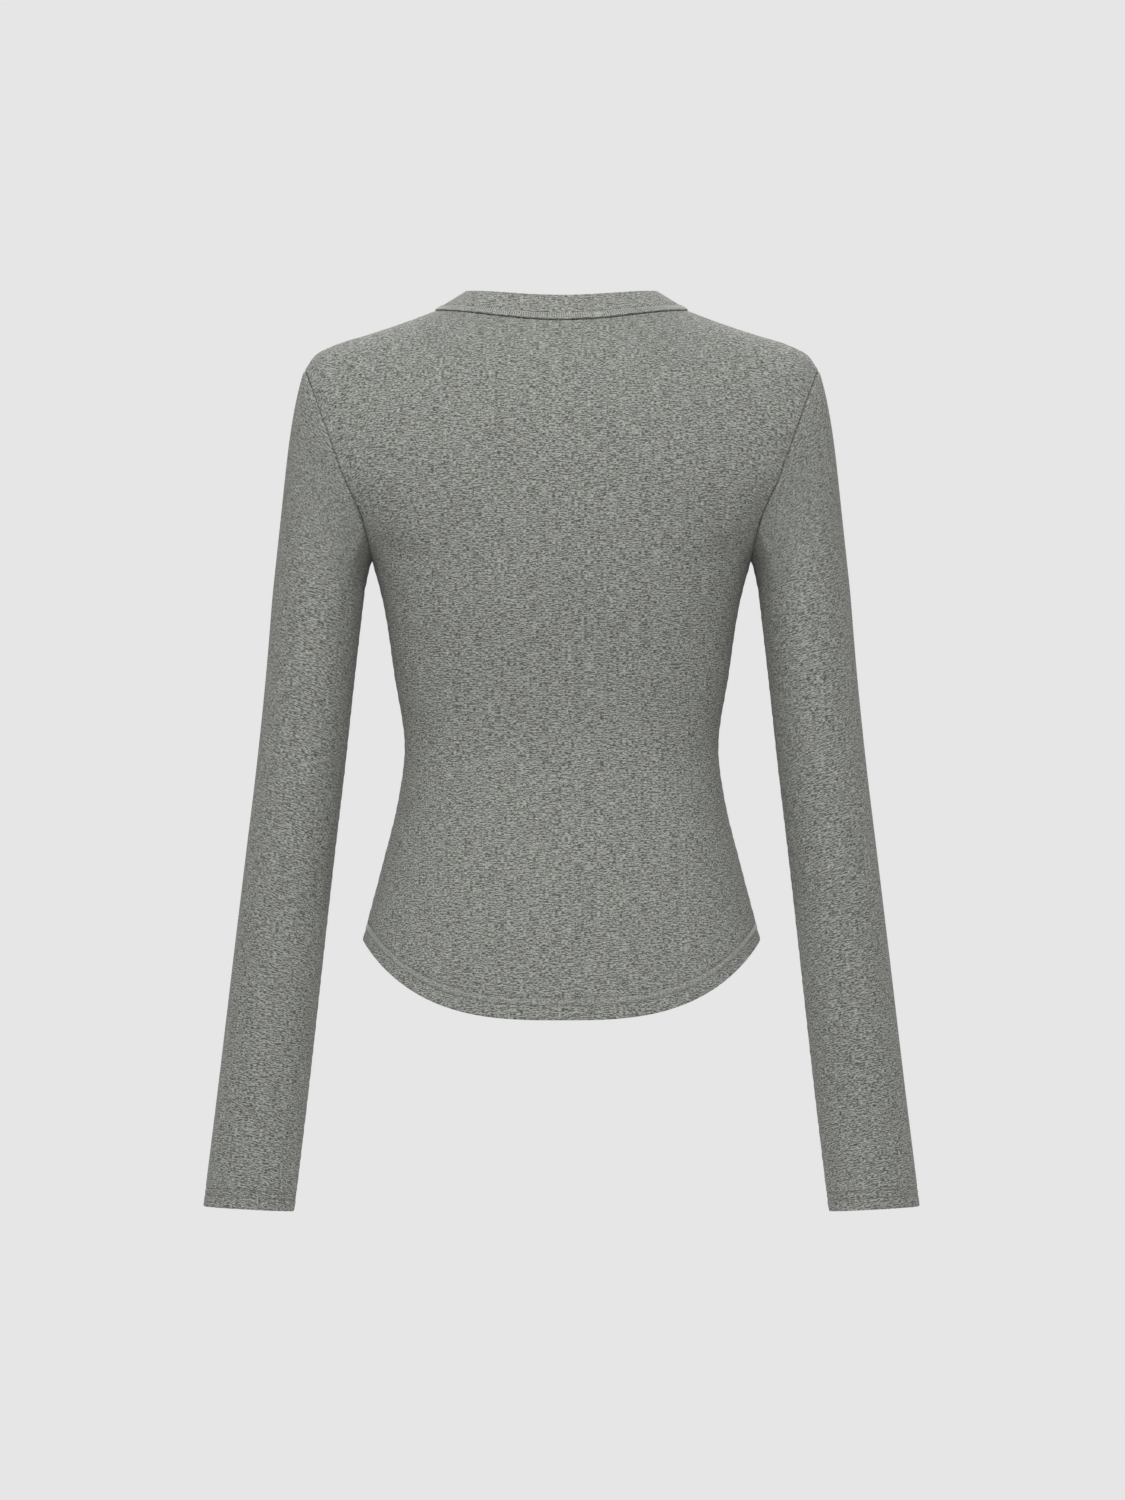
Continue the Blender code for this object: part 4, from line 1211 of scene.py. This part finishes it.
BUTTON_THICK = 0.0022
BUTTON_SIDES = 56
HOLE_SIDES = 14
HOLE_RADIUS = 0.00062
HOLE_OUT = 0.00135  # from the button's middle to each of its four holes
STRAND = 0.00019  # radius of the thread that holds a button and edges a buttonhole
STRANDS_APART = 0.00028
SHARP = math.radians(35)  # a button's edges are sharp from this angle
BUTTONHOLE_LONG = 0.0150
BUTTONHOLE_HALF = 0.0009  # half the width of its racetrack
SATIN_IN, SATIN_OUT = 0.0006, 0.0008  # how far the satin stitches reach to each side of that
SATIN_STRAIGHT, SATIN_ROUND = 26, 8  # how many there are along a straight side and round an end
BUTTON_PROFILE = (  # name, radius and height, in millimetres
    ("middle of the back", 0, 0.06),
    ("flat of the back", 3.6, 0.06),
    ("foot", 4.4, 0.16),
    ("back shoulder", 5.1, 0.52),
    ("widest, low", 5.43, 0.85),
    ("widest", 5.5, 1.1),
    ("widest, high", 5.43, 1.42),
    ("outer rim", 5.2, 1.86),
    ("rim top", 4.86, 2.14),
    ("rim crest", 4.55, 2.2),
    ("inner rim", 4.22, 2.1),
    ("slope", 3.88, 1.82),
    ("edge of the well", 3.52, 1.66),
    ("well", 3, 1.6),
    ("middle of the front", 0, 1.58),
)


def in_order(data):
    """The same mesh with its points and faces in a fixed order, which the cut of the holes doesn't keep."""
    points = [tuple(round(c, 7) for c in vertex.co) for vertex in data.vertices]
    order = sorted(range(len(points)), key=points.__getitem__)
    place = {old: new for new, old in enumerate(order)}
    faces = []
    for polygon in data.polygons:
        ring = [place[i] for i in polygon.vertices]
        first = ring.index(min(ring))
        faces.append(ring[first:] + ring[:first])
    made = bpy.data.meshes.new("button")
    made.from_pydata([data.vertices[i].co for i in order], [], sorted(faces))
    return made


def turned_button():
    """A mesh of one button with its back on Z = 0 and four holes through it."""
    mesh = bmesh.new()
    chain = [mesh.verts.new((radius / 1000, 0.0, height / 1000)) for _, radius, height in BUTTON_PROFILE]
    edges = [mesh.edges.new(pair) for pair in zip(chain, chain[1:])]
    turn = {"cent": (0, 0, 0), "axis": (0, 0, 1), "angle": 2 * math.pi, "steps": BUTTON_SIDES}
    bmesh.ops.spin(mesh, geom=chain + edges, **turn)
    bmesh.ops.remove_doubles(mesh, verts=mesh.verts, dist=1e-6)
    blank = placed("button blank", mesh_data(mesh, "button blank"))
    holes = bmesh.new()
    size = {"segments": HOLE_SIDES, "radius1": HOLE_RADIUS, "radius2": HOLE_RADIUS, "depth": 2 * BUTTON_THICK}
    for x, y in turns(4, 0.5):
        place = Matrix.Translation((HOLE_OUT * x, HOLE_OUT * y, BUTTON_THICK / 2))
        bmesh.ops.create_cone(holes, cap_ends=True, matrix=place, **size)
    drill = placed("button drill", mesh_data(holes, "button drill"))
    cut = blank.modifiers.new("holes", "BOOLEAN")
    cut.operation = "DIFFERENCE"
    cut.object = drill
    made = in_order(evaluated_mesh(blank))
    bpy.data.objects.remove(drill)
    return made


def button_thread():
    """A mesh of the thread that holds a button: two bars of three strands, which go down into the holes."""
    mesh = bmesh.new()
    across = HOLE_OUT * math.cos(math.pi / 4)
    well = BUTTON_PROFILE[-1][2] / 1000
    for side in (-1, 1):
        for strand in (-1, 0, 1):
            y = side * across + strand * STRANDS_APART
            rises = (-0.0012, -0.0002, 0.0002, 0.00034 - abs(strand) * 0.00008, 0.0002, -0.0002, -0.0012)
            places = zip((-1, -1, -0.75, 0, 0.75, 1, 1), rises)
            add_tube(mesh, [(across * x, y, well + rise) for x, rise in places], STRAND, 6)
    return mesh_data(mesh, "button thread")


def seat_of(node):
    """The matrix that takes a button's own frame to its place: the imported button's back and its turn."""
    mesh = bmesh.new()
    mesh.from_mesh(node.data)
    bmesh.ops.remove_doubles(mesh, verts=mesh.verts, dist=1e-6)
    points = np.array([vertex.co for vertex in mesh.verts])
    mesh.free()
    middle = points.mean(axis=0)
    outward = np.linalg.svd(points - middle)[2][-1]
    outward *= -np.sign(outward[1])
    back = np.min((points - middle) @ outward)
    turn = Vector(outward).to_track_quat("Z", "Y").to_matrix().to_4x4()
    return Matrix.Translation(middle + outward * back) @ turn


def add_buttonhole(mesh, seat):
    """Adds a buttonhole's satin stitches below a button: bars across a racetrack round a vertical slit."""
    outward = np.array(seat.col[2][:3])
    upward = unit(np.array([0.0, 0.0, 1.0]) - outward * outward[2])
    aside = np.cross(upward, outward)
    middle = np.array(seat.col[3][:3]) - outward * BUTTON_GAP
    straight = BUTTONHOLE_LONG / 2 - BUTTONHOLE_HALF
    loop = []
    for end in (1, -1):
        loop += [(end, 0.0, t) for t in np.linspace(-straight * end, straight * end, SATIN_STRAIGHT)]
        half_turn = np.linspace(0, math.pi, SATIN_ROUND)[1:-1]
        loop += [(end * math.cos(turn), end * math.sin(turn), straight * end) for turn in half_turn]
    for x, y, t in loop:
        way = aside * x + upward * y
        inner = middle + upward * t + way * (BUTTONHOLE_HALF - SATIN_IN)
        outer = middle + upward * t + way * (BUTTONHOLE_HALF + SATIN_OUT)
        points = [inner - outward * 0.0002, inner + outward * 0.0001, (inner + outer) / 2 + outward * 0.00022]
        points += [outer + outward * 0.0001, outer - outward * 0.0002]
        add_tube(mesh, points, STRAND, 4)


def make_buttons(nodes, plastic, threads):
    """The seven buttons and their thread, as (button, thread, node), and one object of all buttonholes."""
    blank, strands = turned_button(), button_thread()
    holes = bmesh.new()
    made = []
    for name in (f"button_{index + 1}" for index in range(BUTTONS)):
        seat = seat_of(nodes[name])
        pair = []
        for source, kind, material in ((blank, "turned", plastic), (strands, "thread", threads["light"])):
            data = source.copy()
            data.transform(seat)
            data.materials.clear()
            data.materials.append(material)
            data.shade_smooth()
            pair.append(placed(f"{name}_{kind}", data))
        pair[0].data.set_sharp_from_angle(angle=SHARP)
        made.append((*pair, name))
        add_buttonhole(holes, seat)
    return made, placed("buttonholes", mesh_data(holes, "buttonholes", threads["grey"]))


# ---- floor, light and camera ----

PALE = (0.791, 0.791, 0.791, 1.0)  # the backdrop's grey
WHITE = (1.0, 1.0, 1.0, 1.0)
FRAME_HEIGHT = 1.08  # of the view at the garment
VIEW_CENTRE = (-0.0007, 0.0, -0.3146)
CAMERA_FAR = 14.0
CLIP_END = 60.0
SENSOR = 36.0
FLOOR_Z = -1.02
FLOOR_HALF = 2.0
FLOOR_FADE = (0.7, 1.7)  # over which it fades, from its middle
LIGHT_BELOW, LIGHT_ABOVE = 0.20, 0.60  # of the soft light, from straight below and from straight above
LIT_POINT = Vector((0.0, 0.0, -0.25))
Lamp = namedtuple("Lamp", "name place size power")
LAMPS = (  # those behind the garment; three like them, turned half round, light its front
    Lamp("high", (0.1, 1.6, 1.5), 0.9, 19.5),
    Lamp("side", (2.4, 1.8, 1.2), 1.2, 4.0),
    Lamp("wide", (0.0, 3.2, 0.4), 1.4, 14.0),
)


def seen_directly(nodes):
    """1 for rays from the camera, and for those that gloss or glass sends on."""
    path = nodes.add("ShaderNodeLightPath").outputs
    sharp = nodes.math("MAXIMUM", path["Is Camera Ray"], path["Is Glossy Ray"])
    return nodes.math("MAXIMUM", sharp, path["Is Transmission Ray"])


def make_world():
    """Soft light all round, stronger from above than from below, with a pale backdrop."""
    world = bpy.data.worlds.new("studio")
    bpy.context.scene.world = world
    world.use_nodes = True
    nodes = Nodes(world.node_tree)
    nodes.tree.nodes.clear()
    towards = nodes.add("ShaderNodeTexCoord").outputs["Generated"]
    height = nodes.add("ShaderNodeSeparateXYZ", {0: towards}).outputs["Z"]
    reach = {"Value": height, "From Min": -1.0, "To Min": LIGHT_BELOW, "To Max": LIGHT_ABOVE}
    strength = nodes.add("ShaderNodeMapRange", reach).outputs["Result"]
    soft = nodes.add("ShaderNodeBackground", {"Color": WHITE, "Strength": strength}).outputs[0]
    pale = nodes.add("ShaderNodeBackground", {"Color": PALE, "Strength": 1.0}).outputs[0]
    nodes.add("ShaderNodeOutputWorld", {"Surface": nodes.blend(seen_directly(nodes), soft, pale)})


def make_floor():
    """A pale floor under the garment, which takes its shadow, fades into the backdrop and is clear from
    below."""
    material, nodes, shader = new_material("pale floor")
    place = nodes.add("ShaderNodeTexCoord").outputs["Object"]
    x, y, _ = nodes.add("ShaderNodeSeparateXYZ", {0: place}).outputs
    away = nodes.math("SQRT", nodes.math("ADD", nodes.math("MULTIPLY", x, x), nodes.math("MULTIPLY", y, y)))
    reach = {"Value": away, "From Min": FLOOR_FADE[0], "From Max": FLOOR_FADE[1]}
    fade = nodes.add("ShaderNodeMapRange", reach, interpolation_type="SMOOTHSTEP").outputs[0]
    nodes.feed(shader, {"Base Color": PALE, "Roughness": 0.9, "Specular IOR Level": 0.0})
    glow = nodes.add("ShaderNodeEmission", {"Color": PALE, "Strength": 1.0}).outputs[0]
    clear = nodes.add("ShaderNodeBsdfTransparent").outputs[0]
    beyond = nodes.blend(seen_directly(nodes), clear, glow)
    surface = nodes.blend(fade, shader.outputs[0], beyond)
    under = nodes.add("ShaderNodeNewGeometry").outputs["Backfacing"]
    nodes.feed(nodes.tree.nodes["Material Output"], {"Surface": nodes.blend(under, surface, clear)})
    data = bpy.data.meshes.new("floor")
    corners = [(x * FLOOR_HALF, y * FLOOR_HALF, FLOOR_Z) for x, y in ((-1, -1), (1, -1), (1, 1), (-1, 1))]
    data.from_pydata(corners, [], [(0, 1, 2, 3)])
    data.materials.append(material)
    placed("floor", data)


def make_lamps():
    for where, turn in (("behind", (1, 1, 1)), ("before", (-1, -1, 1))):
        for lamp in LAMPS:
            data = bpy.data.lights.new(f"{lamp.name} {where}", "AREA")
            data.shape = "DISK"
            data.size = lamp.size
            data.energy = lamp.power
            made = placed(data.name, data)
            made.location = Vector(lamp.place) * Vector(turn)
            made.rotation_euler = (LIT_POINT - made.location).to_track_quat("-Z", "Y").to_euler()


def make_camera():
    """Behind the garment and level with its middle, far enough away to flatten it as a long lens does."""
    data = bpy.data.cameras.new("camera")
    data.sensor_width = SENSOR
    data.sensor_fit = "AUTO"
    data.lens = SENSOR * CAMERA_FAR / FRAME_HEIGHT
    data.clip_end = CLIP_END
    made = placed("camera", data)
    made.location = (VIEW_CENTRE[0], CAMERA_FAR, VIEW_CENTRE[2])
    made.rotation_euler = (math.pi / 2, 0.0, math.pi)
    bpy.context.scene.camera = made


# ---- putting it together ----

# each piece's cut: width and length of the rectangle round it, and its area, in metres and square metres
Cut = namedtuple("Cut", "width length area")


def main():
    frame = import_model()
    bpy.context.scene.view_settings.view_transform = "Standard"
    jersey = jersey_material()
    threads = {name: thread_material(name, colour) for name, colour in THREAD_COLOURS.items()}
    pieces = make_cloth()
    for name, cloth in pieces.items():
        made = cloth.mesh_object(name, jersey)
        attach(made, "root")
        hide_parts(name)
    stitching = sew_all(pieces, threads)
    buttons, holes = make_buttons(frame["nodes"], button_material(), threads)
    for button, strands, node in buttons:
        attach(button, "root")
        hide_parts(node)
        stitching.append(strands)
    for made in (*stitching, holes):
        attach(made, "root")
    make_world()
    make_floor()
    make_lamps()
    make_camera()


main()
